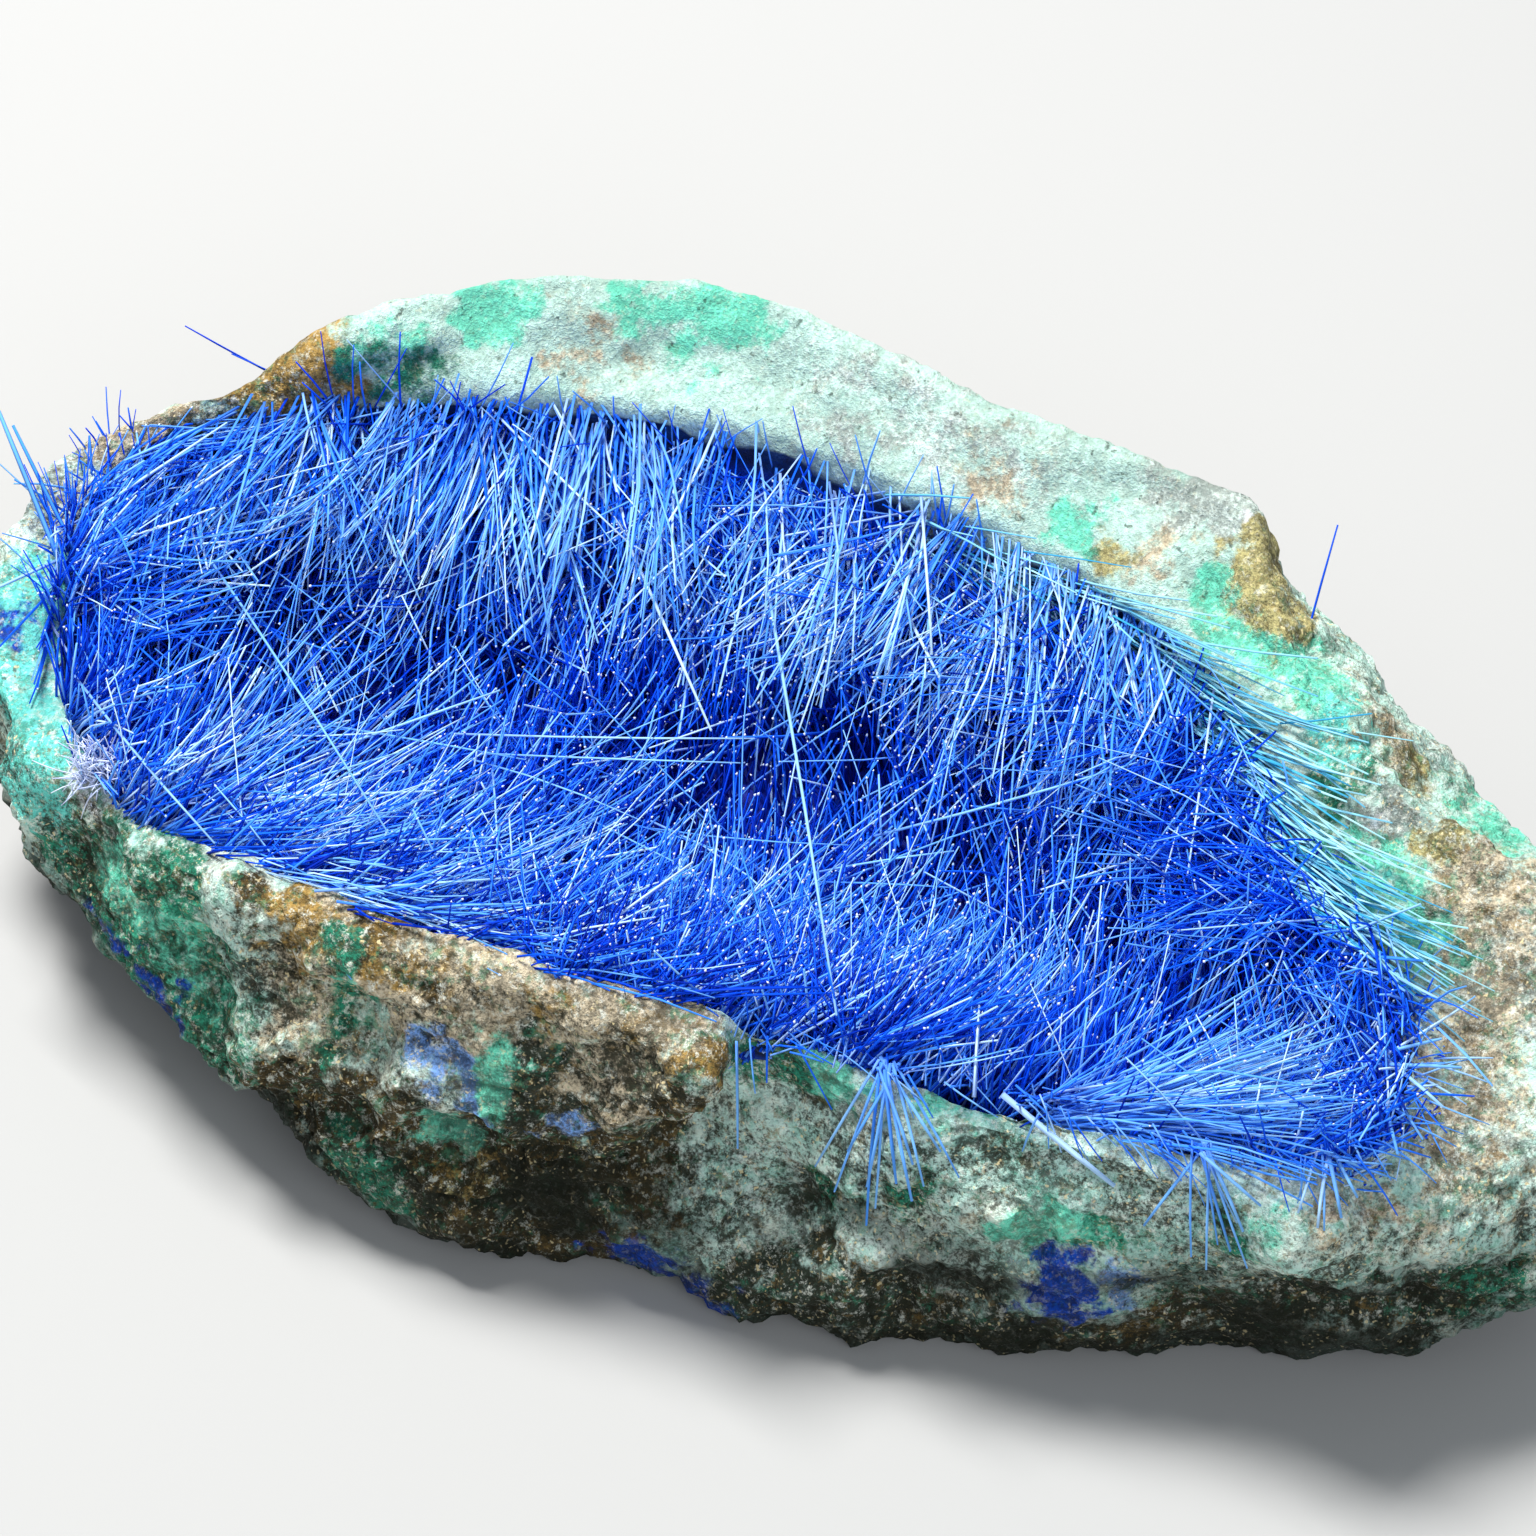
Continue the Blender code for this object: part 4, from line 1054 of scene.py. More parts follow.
def stained(n, colour, light):
    """Crusts, stains and painted shade that have a mask, with painted light on raised grains, shade between.
    """
    for number, (kind, bright) in enumerate(COLOURS.items()):
        broken = n.noise(*STAIN_NOISE, turn=number * STAIN_TURN)
        cover = n.math("ADD", n.mask(kind), n.times(n.less(broken, 0.5), STAIN_BREAK))
        factor = n.times(n.step(cover, *STEPS["stain"]), n.step(n.mask(kind), *STEPS["near_stain"]))
        dull = tuple(c * (SOFT_DULL if kind in SOFT_KINDS else DULL) for c in bright)
        colour = n.mix(factor, colour, n.mix(n.step(light, *STEPS["lit_grain"]), dull, bright))
    return colour


def stains_and_painted_shade(n, colour, light, coarse):
    """Small stains all over the rough stone, and painted shade in its low grains and pits, less on upper
    faces.
    """
    for turn, size, amount, stain in STAINS:
        spread = n.step(n.noise(size, 4.0, 0.8, turn), *STEPS["small_stain"])
        colour = n.mix(n.times(n.times(spread, amount), coarse), colour, stain)
    # Painted shade in the low grains, less on upper faces, and in the pits.
    low = n.less(1.0, n.step(light, *STEPS["low_grain"]))
    low = n.times(low, n.less(1.0, n.times(n.mask("top"), TOP_LESS_SHADE)))
    colour = n.mix(n.times(n.times(low, LOW_GRAIN_SHADE_AMOUNT), coarse), colour, LOW_GRAIN_SHADE_COLOUR)
    pits = n.step(n.noise(*NOISES["pits"]), *STEPS["pit"])
    return n.mix(n.times(pits, PIT_DARK), colour, PIT_SHADE_COLOUR)


def painted_underside_shade(n, colour):
    """Painted shade on the underside, which green and azurite stains still show through."""
    stains = n.math("MAXIMUM", n.mask("green"), n.mask("azurite"))
    plain = n.less(1.0, n.times(stains, STAINED_UNDER))
    return n.mix(n.times(n.times(n.mask("under"), UNDER_DARK), plain), colour, UNDERSIDE_PAINTED_SHADE)


def painted_glints(n, colour, grit, coarse):
    """Painted glints of small ochre grains, in patches, fainter on the underside."""
    glints = n.times(n.step(grit, *STEPS["glint"]), n.step(n.noise(*NOISES["glints"]), *STEPS["glint_area"]))
    lit = n.less(GLINT_LIGHT, n.times(n.mask("under"), UNDER_GLINT))
    return n.mix(n.times(n.times(glints, lit), coarse), colour, PAINTED_GLINT)


def lined(n, colour):
    """Blue on the walls of the hollow, where the needles grow, with painted shadow just under the rim."""
    # Painted shadow in near-black navy just under the rim, the blue lining deeper down.
    deep = n.ramp(n.noise(*NOISES["deep"]), RIM_SHADOW_SHADES)
    deep = n.mix(n.mask("lining"), deep, LINING_BLUE)
    return n.mix(n.step(n.mask("hollow"), *STEPS["hollow"]), colour, deep)


def rock_look():
    """Grey-green to beige stone under crusts of malachite, with ochre, brown and azurite stains."""
    n = Nodes("stained_rock")
    n.place = n.add("ShaderNodeTexCoord").outputs["Object"]
    small, tiny = (n.times(n.noise(*NOISES[k]), s) for k, s in zip(("small", "tiny"), GRAIN_SHARES))
    grains = n.math("ADD", small, tiny)
    # Painted light and shade of the grains: lighter where the bump raises them and on the crests.
    light = n.math("ADD", grains, n.times(n.less(n.mask("raised"), 0.5), CREST_PAINTED_LIGHT))
    soft = n.math("MAXIMUM", n.mask("pale"), n.times(n.mask("mint"), MINT_SOFT))
    coarse = n.less(1.0, n.times(n.math("MAXIMUM", soft, n.mask("azurite")), SOFTNESS))
    grit = n.noise(*NOISES["grit"])
    colour = stained(n, n.ramp(n.noise(*NOISES["base"]), BASE_SHADES), light)
    colour = painted_underside_shade(n, stains_and_painted_shade(n, colour, light, coarse))
    colour = lined(n, painted_glints(n, colour, grit, coarse))
    n.link(colour, n.shader.inputs["Base Color"])
    gloss = n.times(n.step(grit, *STEPS["gloss"]), GRIT_GLOSS)
    n.link(n.less(ROCK_ROUGHNESS, gloss), n.shader.inputs["Roughness"])
    n.shader.inputs["Specular IOR Level"].default_value = ROCK_SPECULAR
    bump = n.add("ShaderNodeBump")
    bump.inputs["Strength"].default_value = 1.0
    bump.inputs["Distance"].default_value = BUMP_DEPTH
    n.link(grains, bump.inputs["Height"])
    n.link(bump.outputs["Normal"], n.shader.inputs["Normal"])
    return n.material


def needle_look(name, shades):
    """Silky blue: each needle's shade runs across the map, root to tip up it, with painted shade at the
    root.
    """
    n = Nodes(name)
    where = n.add("ShaderNodeUVMap", uv_map="OFBake")
    split = n.add("ShaderNodeSeparateXYZ")
    n.link(where.outputs["UV"], split.inputs["Vector"])
    shade = split.outputs["X"]
    body = n.ramp(shade, shades)
    deep = n.ramp(n.times(shade, ROOT_PAINTED_SHADE), shades)
    n.link(n.mix(n.step(split.outputs["Y"], *ROOT_FADE), deep, body), n.shader.inputs["Base Color"])
    n.shader.inputs["Roughness"].default_value = NEEDLE_ROUGHNESS
    n.shader.inputs["Specular IOR Level"].default_value = NEEDLE_SPECULAR
    return n.material


def mottled_look(name, scale, octaves, shades, roughness):
    """A colour that wanders between two shades."""
    n = Nodes(name)
    n.place = n.add("ShaderNodeTexCoord").outputs["Object"]
    n.link(n.ramp(n.noise(scale, octaves), shades), n.shader.inputs["Base Color"])
    n.shader.inputs["Roughness"].default_value = roughness
    return n.material


def mat_height(x, y):
    """Height that the tips of the upright needles reach."""
    x = x - RIM_ORIGIN[0]
    y = y - RIM_ORIGIN[1]
    middle = np.exp(-((x / MAT_DIP[1]) ** 2 + ((y + 1.0) / MAT_DIP[2]) ** 2))
    near = MAT_NEAR[0] * ramped(-y, *MAT_NEAR[1:])
    left = MAT_LEFT[0] * ramped(-x, *MAT_LEFT[1:])
    return MAT_TOP - MAT_DIP[0] * middle + near + left


def bed_height(x, y):
    """Top of the close-grown bed that the visible needles rise from."""
    along = np.sin(x * 1.9 + 1.3 * np.sin(y * 1.1))
    return mat_height(x, y) - BED_DEPTH + BED_WAVES * along * np.sin(y * 2.3 + x * 0.4)


def squares_inside(xs, ys, grid, outline):
    """The corners of each square of a grid that lies wholly inside the outline."""
    number = np.arange(len(grid)).reshape(len(ys), len(xs))
    corners = [number[:-1, :-1], number[:-1, 1:], number[1:, 1:], number[1:, :-1]]
    corners = np.stack(corners, axis=-1).reshape(-1, 4)
    return corners[inside(grid, outline)[corners].all(axis=1)]


def make_bed(outline):
    """The bed of crystals at the foot of the needles: a slab that fills the hollow from side to side."""
    xs, ys = (np.arange(outline[:, k].min(), outline[:, k].max(), BED_STEP) for k in (0, 1))
    grid = np.array([(x, y) for y in ys for x in xs])
    corners = squares_inside(xs, ys, grid, outline)
    heights = bed_height(grid[:, 0], grid[:, 1])
    shell = bmesh.new()
    top = {i: shell.verts.new((*grid[i], heights[i])) for i in np.unique(corners)}
    faces = [shell.faces.new([top[i] for i in four]) for four in corners]
    grown = bmesh.ops.extrude_face_region(shell, geom=faces)
    for vertex in grown["geom"]:
        if isinstance(vertex, bmesh.types.BMVert):
            vertex.co.z -= BED_THICKNESS
    bmesh.ops.recalc_face_normals(shell, faces=shell.faces[:])
    bmesh.ops.triangulate(shell, faces=shell.faces[:])
    places, triangles = arrays(shell)
    shell.free()
    mesh = make_mesh("needle_bed", places, in_order(triangles))
    add_piece("needle_bed", mesh, mottled_look(*BED_LOOK), "needle_crust")


def hollow_faces(places, faces, outline):
    """The CAD rock's faces that line the hollow, with their normals and areas."""
    middles = places[faces].mean(axis=1)
    across = face_normals(places, faces)
    normals = unit(across)
    lining = inside(middles, outline) & (middles[:, 2] > HOLLOW_LOWEST) & (normals[:, 2] > LINING_TURN)
    return faces[lining], normals[lining], np.linalg.norm(across[lining], axis=1) / 2.0


def points_on(places, faces, areas, count, rng):
    """Points spread evenly over the faces, and each one's face."""
    chosen = rng.choice(len(faces), size=count, p=areas / areas.sum())
    a = rng.random(count)
    b = rng.random(count)
    flip = a + b > 1.0
    a[flip] = 1.0 - a[flip]
    b[flip] = 1.0 - b[flip]
    first, second, third = (places[faces[chosen, k]] for k in range(3))
    return first + (second - first) * a[:, None] + (third - first) * b[:, None], chosen


def wall_directions(points, normals):
    """The way needles grow by their wall alone: off it and up, and forward from the far wall."""
    facing = np.clip(-normals[:, 1] * FAR_TURN[0] - FAR_TURN[1], 0.0, 1.0)
    far = (facing * ramped(points[:, 2], *FAR_WALL))[:, None]
    lean = UP + normals * WALL_LEAN
    across = normals * FAR_LEAN[0] + FORWARD * FAR_LEAN[1] + UP * FAR_LEAN[2]
    return unit(lean * (1.0 - far) + across * far)


def flow_at(pixels, rng):
    """The flow that the photograph shows at each pixel: direction, and shade.

    Where needles that point down meet others, a pixel goes one way or the other.
    """
    right, up, back = (np.array(axis) for axis in camera_axes())
    total = np.zeros((2, len(pixels), 3))
    shade = np.zeros(len(pixels))
    weight = np.full((2, len(pixels)), TINY)
    for x, y, angle, forward, tone in FLOWS:
        a = math.radians(angle)
        side = int(math.sin(a) < DOWNWARD)
        near = np.exp(-((pixels[:, 0] - x) ** 2 + (pixels[:, 1] - y) ** 2) / (2.0 * FLOW_REACH ** 2))
        total[side] += near[:, None] * unit(right * math.cos(a) + up * math.sin(a) + back * forward)
        weight[side] += near
        shade += near * tone
    whole = weight.sum(axis=0)
    down = rng.random(len(pixels)) < weight[1] / whole
    return unit(np.where(down[:, None], total[1], total[0])), shade / whole


def turned(directions, spread, rng):
    """The directions, each turned a random way."""
    return unit(directions + rng.normal(0.0, spread, directions.shape))


def rooted_in(kind, middles, normals, outline):
    """Which faces of the hollow's lining a population grows on."""
    below = nearest_rim(middles, outline)[1] - middles[:, 2]
    facing = normals[:, 1]
    least, most = BANDS[kind]
    if kind == "wall":
        far = (facing < FAR_FACING) & (middles[:, 0] > FAR_GAP_SPAN[0]) & (middles[:, 0] < FAR_GAP_SPAN[1])
        least = np.where(far, FAR_GAP, least)
    within = (below > least) & (below < most)
    if kind == "near":
        return within & (facing > NEAR_FACING)
    if kind == "rim":
        return within & (facing < RIM_FACING)
    return within


def kept_low(roots, direction, length, lift):
    """Directions lowered so that the tips stay near the top of the mat."""
    tip = roots + direction * length[:, None]
    steepest = (mat_height(tip[:, 0], tip[:, 1]) + lift - roots[:, 2]) / length
    lowered = direction.copy()
    lowered[:, 2] = np.minimum(direction[:, 2], steepest)
    return unit(lowered)


def reach_of(roots, direction):
    """How far floor needles grow to reach the top of the mat."""
    tip = roots + direction * NEEDLE_REACH
    reach = (mat_height(tip[:, 0], tip[:, 1]) - roots[:, 2]) / np.maximum(direction[:, 2], LEAST_RISE)
    return np.clip(reach, *FLOOR_REACH)


def above_bed(roots, direction, length):
    """Where each needle comes out of the bed, and the length that is left."""
    start = np.zeros(len(roots))
    for _ in range(ROUNDS):
        place = roots + direction * start[:, None]
        lack = bed_height(place[:, 0], place[:, 1]) - place[:, 2]
        start = np.maximum(start + lack / np.maximum(direction[:, 2], BED_LEAST_RISE), 0.0)
    start = np.clip(start - BED_SINK, 0.0, np.maximum(length - SHORTEST, 0.0))
    return roots + direction * start[:, None], length - start


def stopped_by_rock(roots, direction, length, tree):
    """Lengths cut back where a needle would run into the stone."""
    cut = length.copy()
    for i in range(len(roots)):
        start = Vector(roots[i] + direction[i] * CLEAR_START)
        hit = tree.ray_cast(start, Vector(direction[i]), length[i])
        if hit[3] is not None:
            cut[i] = max(CLEAR_START, hit[3] + ROCK_SINK)
    return cut


def kept_inside(roots, direction, length, outline):
    """Lengths cut back where a needle would reach far over the rim."""
    tips = roots + direction * length[:, None]
    overhang = np.where(tips[:, 0] > BLUNT_END_FROM, BLUNT_OVERHANG, RIM_OVERHANG)
    outside = ~inside(tips, outline) & (nearest_rim(tips, outline)[0] > overhang)
    return np.where(outside, length * OUTSIDE_SHARE, length)


def tufts_of(kind, count, hollow, rng):
    """Where tufts stand, their wall's normal, the way that they grow and their shade."""
    places, lining, normals, areas, outline = hollow
    usable = rooted_in(kind, places[lining].mean(axis=1), normals, outline)
    centres, chosen = points_on(places, lining[usable], areas[usable], count, rng)
    around = normals[usable][chosen]
    grow = wall_directions(centres, around)
    flow, shade = flow_at(picture_of(centres + grow * FLOW_AHEAD), rng)
    grow = unit(grow * (1.0 - FLOW_SHARE) + flow * FLOW_SHARE + around * OFF_WALL)
    return centres, around, turned(grow, math.radians(TUFT_TURN), rng), shade


def grow_population(row, hollow, tree, rng):
    """Roots, directions, lengths, shades and bends of one population of needles."""
    kind, tufts, per_tuft, scatter, share, spread, curve, tone, contrast = row
    centres, around, grow, shade = tufts_of(kind, tufts, hollow, rng)
    which = np.repeat(np.arange(tufts), per_tuft)
    count = len(which)
    normal = around[which]
    offset = rng.normal(0.0, scatter, (count, 3))
    offset -= normal * (offset * normal).sum(axis=1, keepdims=True)
    roots = centres[which] + offset - normal * ROOT_DEPTH
    direction = turned(grow[which] + offset * TUFT_OPEN, spread, rng)
    off_wall = (direction * normal).sum(axis=1, keepdims=True)
    direction = unit(direction + normal * np.maximum(LEAST_OFF_WALL - off_wall, 0.0))
    part = rng.uniform(*share, count) * rng.uniform(*TUFT_SIZES, tufts)[which]
    if kind == "floor":
        length = reach_of(roots, direction) * part
    else:
        length = NEEDLE_REACH * part
        direction = kept_low(roots, direction, length, rng.normal(*WALL_LIFT, count))
    length = stopped_by_rock(roots, direction, length, tree)
    length = kept_inside(roots, direction, length, hollow[-1])
    roots, length = above_bed(roots, direction, length)
    bend = rng.normal(0.0, curve * TUFT_BEND, (tufts, 3))[which] + rng.normal(0.0, SINGLE_BEND, (count, 3))
    mixed = shade[which] + tone + rng.normal(0.0, contrast * TUFT_SHADE, tufts)[which]
    mixed += rng.normal(0.0, contrast, count)
    # Painted shade: needles shorter than the mean, whose tips lie deeper, are darker.
    mixed += (part - part.mean()) * DEPTH_PAINTED_SHADE
    return roots, direction, length, mixed, np.cross(direction, bend), np.full(count, kind == "floor")


def grow_bundles(outline, tree, rng):
    """Roots, directions, lengths, shades and bends of the bundles that stand out."""
    ends = [(on_rock(tree, row[0], row[1], -ROOT_DEPTH), row) for row in FAR_BUNDLES]
    ends += [(over_mat(row[0], row[1], BUNDLE_ROOT_LIFT), row) for row in BUNDLES]
    grown = []
    for start, (_, _, x, y, count, fan, shade) in ends:
        end = over_mat(x, y, BUNDLE_TIP_LIFT)
        roots = rooted(start, end, tree) + rng.normal(0.0, BUNDLE_SCATTER, (count, 3))
        roots = roots[inside(roots, outline)]
        count = len(roots)
        way = np.tile(unit(end - start), (count, 1))
        direction = turned(way, math.radians(fan * BUNDLE_OPEN), rng)
        length = np.linalg.norm(end - start) * rng.uniform(*BUNDLE_PARTS, count)
        length = stopped_by_rock(roots, direction, length, tree)
        length = kept_inside(roots, direction, length, outline)
        bend = rng.normal(0.0, BUNDLE_BEND, 3) + rng.normal(0.0, SINGLE_BEND, (count, 3))
        mixed = shade + rng.normal(0.0, BUNDLE_SHADE, count)
        floor = np.zeros(count, dtype=bool)
        grown.append((roots, direction, length, mixed, np.cross(direction, bend), floor))
    return grown


def grow_edge(outline, tree, rng):
    """Roots, directions, lengths, shades and bends of the needles rooted in the far edge of the rim."""
    columns = picture_of(outline)[:, 0]
    few = (columns > EDGE_FEW[0]) & (columns < EDGE_FEW[1])
    weight = np.where(outline[:, 1] > EDGE_FROM, np.where(few, EDGE_FEW_SHARE, 1.0), 0.0)
    chosen = rng.choice(len(outline), size=EDGE_COUNT, p=weight / weight.sum())
    t = rng.random((EDGE_COUNT, 1))
    place = outline[chosen] * (1.0 - t) + np.roll(outline, -1, axis=0)[chosen] * t
    out = unit(place * (1.0 - UP))
    roots = place + (out - UP) * EDGE_DEPTH
    flow, shade = flow_at(picture_of(place - out * EDGE_INWARD), rng)
    outward = np.maximum((flow * out).sum(axis=1, keepdims=True), 0.0)
    direction = turned(flow - 2.0 * outward * out, EDGE_TURN, rng)
    length = rng.uniform(*EDGE_LENGTH, EDGE_COUNT)
    direction = kept_low(roots, direction, length, rng.normal(*EDGE_LIFT, EDGE_COUNT))
    length = stopped_by_rock(roots, direction, length, tree)
    bend = np.cross(direction, rng.normal(0.0, SINGLE_BEND, (EDGE_COUNT, 3)))
    mixed = shade + rng.normal(*EDGE_SHADE, EDGE_COUNT)
    return roots, direction, length, mixed, bend, np.zeros(EDGE_COUNT, dtype=bool)


def bent_under(roots, direction, length, bend, rng):
    """Lengths and bends of needles that stay near the mat's top: a tall one is shortened and bent down."""
    limit = np.abs(rng.normal(0.0, TIP_SPREAD, len(roots))) + TIP_RISE
    for _ in range(ROUNDS):
        tips = roots + (direction + bend) * length[:, None]
        over = np.maximum(tips[:, 2] - mat_height(tips[:, 0], tips[:, 1]) - limit, 0.0)
        length = np.where(over > length * MOST_BEND, length * TOO_TALL_SHARE, length)
    lowered = bend.copy()
    lowered[:, 2] -= np.minimum(over / length, MOST_BEND)
    return length, lowered


def above_base(roots, direction, length, bend):
    """Lengths cut back where a needle would reach down through the base of the stone."""
    drop = np.maximum(-(direction + bend)[:, 2], LEAST_DROP)
    return np.minimum(length, (roots[:, 2] - BASE_CLEAR) / drop)


def grow_mat(places, faces, outline, tree, rng):
    """All the needles that line the hollow."""
    hollow = (places, *hollow_faces(places, faces, outline), outline)
    grown = [grow_population(row, hollow, tree, rng) for row in POPULATIONS]
    grown += grow_bundles(outline, tree, rng)
    grown.append(grow_edge(outline, tree, rng))
    roots, direction, length, shade, bend, floor = [np.concatenate(parts) for parts in zip(*grown)]
    length, bend = bent_under(roots, direction, length, bend, rng)
    length = above_base(roots, direction, length, bend)
    return roots, direction, length, shade, bend, floor


def sides_of(direction):
    """Two directions square to each needle and to each other."""
    side = unit(np.cross(direction, SKEW))
    return side, np.cross(direction, side)


def needle_faces():
    """The triangles of one needle, and each corner's steps round it and along it."""
    rows = []
    for low in range(len(RING_STEPS) - 1):
        for k in range(RING):
            a, b = low * RING + k, low * RING + (k + 1) % RING
            c, d = a + RING, b + RING
            rows.append(((a, b, d), (k, k + 1, k + 1), (low, low, low + 1)))
            rows.append(((a, d, c), (k, k + 1, k), (low, low + 1, low + 1)))
    last = len(RING_STEPS) - 1
    top = RING * last
    rows.append(((2, 1, 0), (0, 1, 1), (0, 0, 1)))
    rows.append(((top, top + 1, top + 2), (0, 1, 1), (last, last, last - 1)))
    return (np.array(part) for part in zip(*rows))


def needle_mesh(name, roots, direction, length, radius, shade, bend, start):
    """Closed three-sided needles as one mesh, mapped by shade and by the way from root to tip."""
    count = len(roots)
    side, other = sides_of(direction)
    rings = []
    for t, width in zip(RING_STEPS, RING_WIDTHS):
        middle = roots + direction * (length * t)[:, None] + bend * (length * t * t)[:, None]
        for k in range(RING):
            angle = 2.0 * math.pi * k / RING
            out = side * math.cos(angle) + other * math.sin(angle)
            rings.append(middle + out * (radius * width)[:, None])
    faces, across, steps = needle_faces()
    base = (np.arange(count) * len(rings))[:, None, None]
    mesh = make_mesh(name, np.stack(rings, axis=1).reshape(-1, 3), (base + faces[None]).reshape(-1, 3))
    u = np.clip(shade, *SHADE_RANGE)[:, None, None] + across[None] * SHADE_STEP
    v = start[:, None, None] + (TIP_LEVEL - start[:, None, None]) * np.array(RING_STEPS)[steps][None]
    layer = mesh.uv_layers.new(name="OFBake")
    layer.data.foreach_set("uv", np.stack([u, v], axis=-1).astype(np.float32).ravel())
    smooth = np.ones((count, len(faces)), dtype=bool)
    smooth[:, -2:] = False
    mesh.polygons.foreach_set("use_smooth", smooth.ravel())
    return mesh


def tip_mesh(name, tips, direction, radius):
    """Painted highlights on the ends of needles: a small eight-sided grain on each tip."""
    side, other = sides_of(direction)
    wide = radius[:, None]
    corners = [tips + direction * wide * GRAIN_LONG, tips - direction * wide * GRAIN_LONG]
    corners += [tips + side * wide, tips + other * wide, tips - side * wide, tips - other * wide]
    places = np.stack(corners, axis=1).reshape(-1, 3)
    pairs = [(2 + k, 2 + (k + 1) % GRAIN_SIDES) for k in range(GRAIN_SIDES)]
    faces = [(0, a, b) for a, b in pairs] + [(1, b, a) for a, b in pairs]
    base = (np.arange(len(tips)) * len(corners))[:, None, None]
    return make_mesh(name, places, (base + np.array(faces)[None]).reshape(-1, 3))


def add_mat(grown, rng, look):
    """The mat, in pieces from the narrow end of the hollow to the blunt one, and the painted highlights on
    its tips.
    """
    roots, direction, length, shade, bend, floor = grown
    count = len(roots)
    radius = rng.uniform(*NEEDLE_RADIUS, count)
    start = np.where(floor, 0.0, WALL_START)
    columns = (roots, direction, length, radius, shade, bend, start)
    for number, group in enumerate(np.array_split(np.argsort(roots[:, 0]), MAT_PIECES)):
        name = "needle_mat_%d" % (number + 1)
        add_piece(name, needle_mesh(name, *(column[group] for column in columns)), look, "needle_crust")
    tips = roots + (direction + bend) * length[:, None]
    away = np.linalg.norm(picture_of(tips) - np.array(TIP_CENTRE), axis=1) / TIP_REACH
    tipped = rng.random(count) < TIP_SHARE[0] + (TIP_SHARE[1] - TIP_SHARE[0]) * np.exp(-away ** 2)
    tips = tips[tipped]
    grains = tip_mesh("needle_tips", tips, direction[tipped], rng.uniform(*TIP_RADIUS, len(tips)))
    add_piece("needle_tips", grains, mottled_look(*TIP_HIGHLIGHT_LOOK), "needle_crust")


def over_mat(x, y, lift):
    """The point that a pixel shows at a height over the mat's top."""
    place = seen_at_height(x, y, MAT_TOP_GUESS)
    for _ in range(ROUNDS + 1):
        place = seen_at_height(x, y, mat_height(place.x, place.y) + lift)
    return np.array(place)


def rooted(root, tip, tree):
    """The root moved back along the needle until it is in the stone, if that is near."""
    direction = unit(root - tip)
    nearest, normal, _, _ = tree.find_nearest(Vector(root))
    if (Vector(root) - nearest).dot(normal) < 0.0:
        return root
    hit = tree.ray_cast(Vector(root), Vector(direction), ROOT_SEARCH)
    if hit[3] is None:
        return root + direction
    return root + direction * (hit[3] + ROOT_DEPTH)


def add_strays(tree, look, rng):
    """Long needles that stand out of the mat."""
    tips = [over_mat(row[2], row[3], row[5]) for row in STRAYS]
    roots = [rooted(over_mat(row[0], row[1], row[4]), tip, tree) for row, tip in zip(STRAYS, tips)]
    shade, radius = zip(*(row[6:] for row in STRAYS))
    add_needles("stray_needles", roots, tips, radius, shade, STRAY_BEND, look, rng)


def add_needles(name, roots, tips, radius, shade, bend, look, rng):
    """Needles from their roots to their tips, as one piece."""
    roots = np.array(roots)
    way = np.array(tips) - roots
    length = np.linalg.norm(way, axis=1)
    direction = unit(way)
    curve = np.cross(direction, rng.normal(0.0, bend, (len(roots), 3)))
    start = np.full(len(roots), WALL_START)
    mesh = needle_mesh(name, roots, direction, length, np.array(radius), np.array(shade), curve, start)
    add_piece(name, mesh, look, "needle_crust")


def on_rock(tree, x, y, lift):
    """The rock at a pixel, raised towards the camera; None where the photograph shows no rock."""
    place = seen_at(tree, x, y)
    if place is None:
        return None
    return np.array(place + camera_axes()[2] * lift)


def clear_tip(tree, root, x, y, clearance):
    """The tip that a pixel shows, far enough off the stone for the needle to pass over it."""
    for lift in FAN_LIFTS:
        tip = on_rock(tree, x, y, lift)
        if tip is None:
            return None
        way = Vector(tip - root)
        if tree.ray_cast(Vector(root) + way * CLEAR_FROM, way, way.length * (1.0 - CLEAR_FROM))[3] is None:
            return on_rock(tree, x, y, lift + clearance)
    return None


def add_fans(tree, look, rng):
    """Small fans of needles that grow on the near rim and lie out over the stone."""
    roots = []
    tips = []
    radius = []
    for x, y, ends in FANS:
        for end in ends:
            aside = rng.normal(0.0, FAN_ROOT_SPREAD[0])
            below = rng.normal(0.0, FAN_ROOT_SPREAD[1])
            root = over_mat(x + aside, y - FAN_ROOT_RISE + below, FAN_ROOT_LIFT)
            tip = clear_tip(tree, root, *end, FAN_CLEARANCE)
            if tip is not None:
                roots.append(root)
                tips.append(tip)
                radius.append(FAN_RADIUS * rng.uniform(*FAN_WIDTHS))
    x0, y0, x1, y1, width = BROAD_NEEDLE
    roots.append(over_mat(x0, y0, FAN_ROOT_LIFT))
    tips.append(on_rock(tree, x1, y1, BROAD_LIFT))
    radius.append(width)
    shade = rng.normal(*FAN_SHADE, len(roots))
    shade[-1] = BROAD_SHADE
    add_needles("rim_fans", roots, tips, radius, shade, FAN_BEND, look, rng)


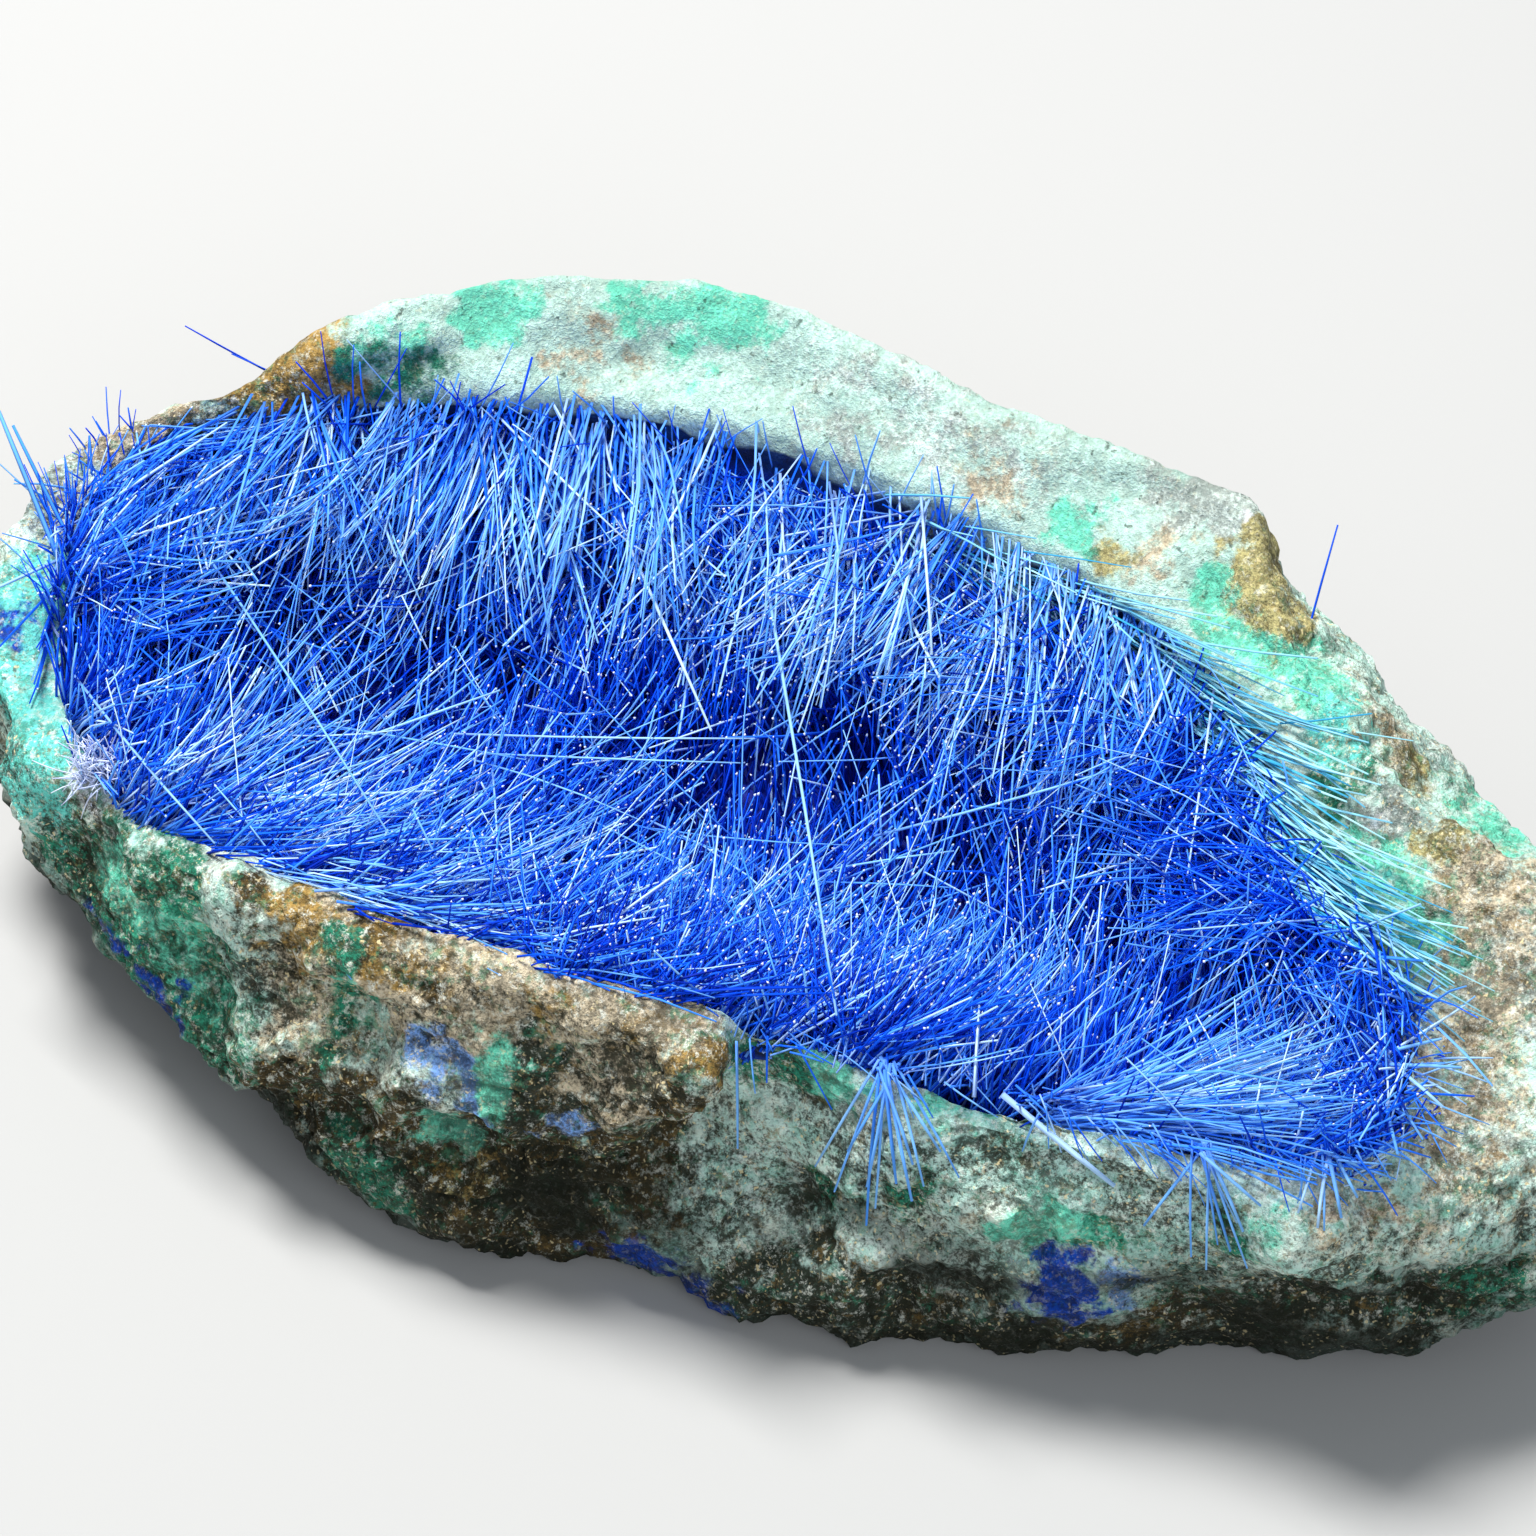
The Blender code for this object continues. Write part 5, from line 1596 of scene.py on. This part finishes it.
def along(line, count, angle, turn, lengths, rng):
    """The pixels of the roots and of the tips of needles that grow along a line."""
    line = np.array(line, dtype=float)
    t = rng.random(count) * (len(line) - 1)
    part = t.astype(int)
    roots = line[part] + (line[part + 1] - line[part]) * (t - part)[:, None]
    roots += rng.normal(0.0, LINE_SCATTER, (count, 2))
    angles = np.radians(rng.normal(angle, turn, count))
    way = np.stack([np.cos(angles), -np.sin(angles)], axis=1) * rng.uniform(*lengths, count)[:, None]
    return roots, roots + way


def over_stone(tree, rng, lowest=0.0):
    """What gives a needle its tip over the stone, where that is higher than the lowest."""
    def tip_of(root, end):
        tip = clear_tip(tree, root, *end, rng.uniform(*ROCK_CLEARANCE))
        return tip if tip is not None and tip[2] > lowest else None
    return tip_of


def over_needles(lift, rng, outline=None):
    """What gives a needle its tip over the mat, where that is inside the outline if there is one."""
    def tip_of(root, end):
        tip = over_mat(*end, rng.uniform(*lift))
        return tip if outline is None or inside(tip[None], outline)[0] else None
    return tip_of


def add_along(name, piece, tip_of, look, rng):
    """Thin needles that grow along lines of the photograph, those of them that get a tip."""
    lines, root_lift, radius, shade, bend = piece
    roots = []
    tips = []
    for line in lines:
        for start, end in zip(*along(*line, rng)):
            root = over_mat(*start, root_lift)
            tip = tip_of(root, end)
            if tip is not None:
                roots.append(root)
                tips.append(tip)
    count = len(roots)
    add_needles(name, roots, tips, rng.uniform(*radius, count), rng.uniform(*shade, count), bend, look, rng)


def add_down(tree, look, rng):
    """The tuft of pale down on the left rim."""
    centre = on_rock(tree, *DOWN_PLACE, 0.0)
    way = unit(rng.normal(0.0, 1.0, (DOWN_COUNT, 3)) + DOWN_WAY)
    roots = centre + rng.normal(0.0, DOWN_SCATTER, (DOWN_COUNT, 3))
    tips = roots + way * rng.uniform(*DOWN_LENGTH, (DOWN_COUNT, 1))
    radius = np.full(DOWN_COUNT, DOWN_RADIUS)
    shade = rng.uniform(*DOWN_SHADES, DOWN_COUNT)
    add_needles("white_down", roots, tips, radius, shade, DOWN_BEND, look, rng)


def add_floor():
    """The plain pale floor that the stone lies on."""
    bpy.ops.mesh.primitive_plane_add(size=FLOOR_SIZE)
    floor = bpy.context.active_object
    floor.name = "floor"
    floor.data.materials.append(mottled_look(*FLOOR_LOOK))


def add_light(name, place, size, power, colour):
    """A soft square light that shines at the middle of the stone."""
    data = bpy.data.lights.new(name, "AREA")
    data.size = size * MM
    data.energy = power
    data.color = colour
    lamp = bpy.data.objects.new(name, data)
    lamp.location = Vector(place) * MM
    aim = CAMERA_TARGET * MM - lamp.location
    lamp.rotation_euler = aim.to_track_quat("-Z", "Y").to_euler()
    bpy.context.scene.collection.objects.link(lamp)


def add_lights():
    """Two soft lights and an even sky."""
    for name, row in LIGHTS.items():
        add_light(name, *row)
    world = bpy.data.worlds.new("studio")
    world.use_nodes = True
    sky = world.node_tree.nodes["Background"]
    sky.inputs["Color"].default_value = SKY
    sky.inputs["Strength"].default_value = SKY_POWER
    bpy.context.scene.world = world


def add_camera():
    data = bpy.data.cameras.new("camera")
    data.sensor_width = SENSOR
    data.lens = SENSOR * CAMERA_DISTANCE / CAMERA_SPAN
    data.clip_start = 0.01
    camera = bpy.data.objects.new("camera", data)
    back = camera_axes()[2]
    camera.location = (CAMERA_TARGET + back * CAMERA_DISTANCE) * MM
    camera.rotation_euler = back.to_track_quat("Z", "Y").to_euler()
    bpy.context.scene.collection.objects.link(camera)
    bpy.context.scene.camera = camera


def plain(bounds):
    return [[float(v) for v in corner] for corner in bounds]


def main():
    """The whole scene."""
    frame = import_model()
    rock = frame["nodes"]["matrix_rock"]
    shell = cad_mesh(rock)
    places, faces = arrays(shell)
    shell.free()
    tree = BVHTree.FromPolygons([Vector(p) for p in places], faces.tolist())
    outline = rim_outline()
    make_rock(rock, tree, outline)
    look = needle_look("azurite_needle", BLUE_SHADES)
    rng = np.random.default_rng(NEEDLE_SEED)
    add_mat(grow_mat(places, faces, outline, tree, rng), rng, look)
    make_bed(outline)
    add_strays(tree, look, rng)
    add_fans(tree, look, rng)
    add_along("left_wisps", WISPS, over_needles(WISP_LIFT, rng), look, rng)
    add_along("long_threads", THREADS, over_needles(THREAD_LIFT, rng, outline), look, rng)
    add_along("near_fringe", NEAR_FRINGE, over_stone(tree, rng), look, rng)
    add_along("far_fringe", FAR_FRINGE, over_stone(tree, rng), look, rng)
    pale = needle_look("pale_needle", CYAN_SHADES)
    add_along("pale_needles", PALE_NEEDLES, over_stone(tree, rng, PALE_TIPS_OVER), pale, rng)
    add_down(tree, needle_look("white_needle", WHITE_SHADES), rng)
    add_floor()
    add_lights()
    add_camera()
    bpy.context.scene.view_settings.view_transform = "Standard"


main()
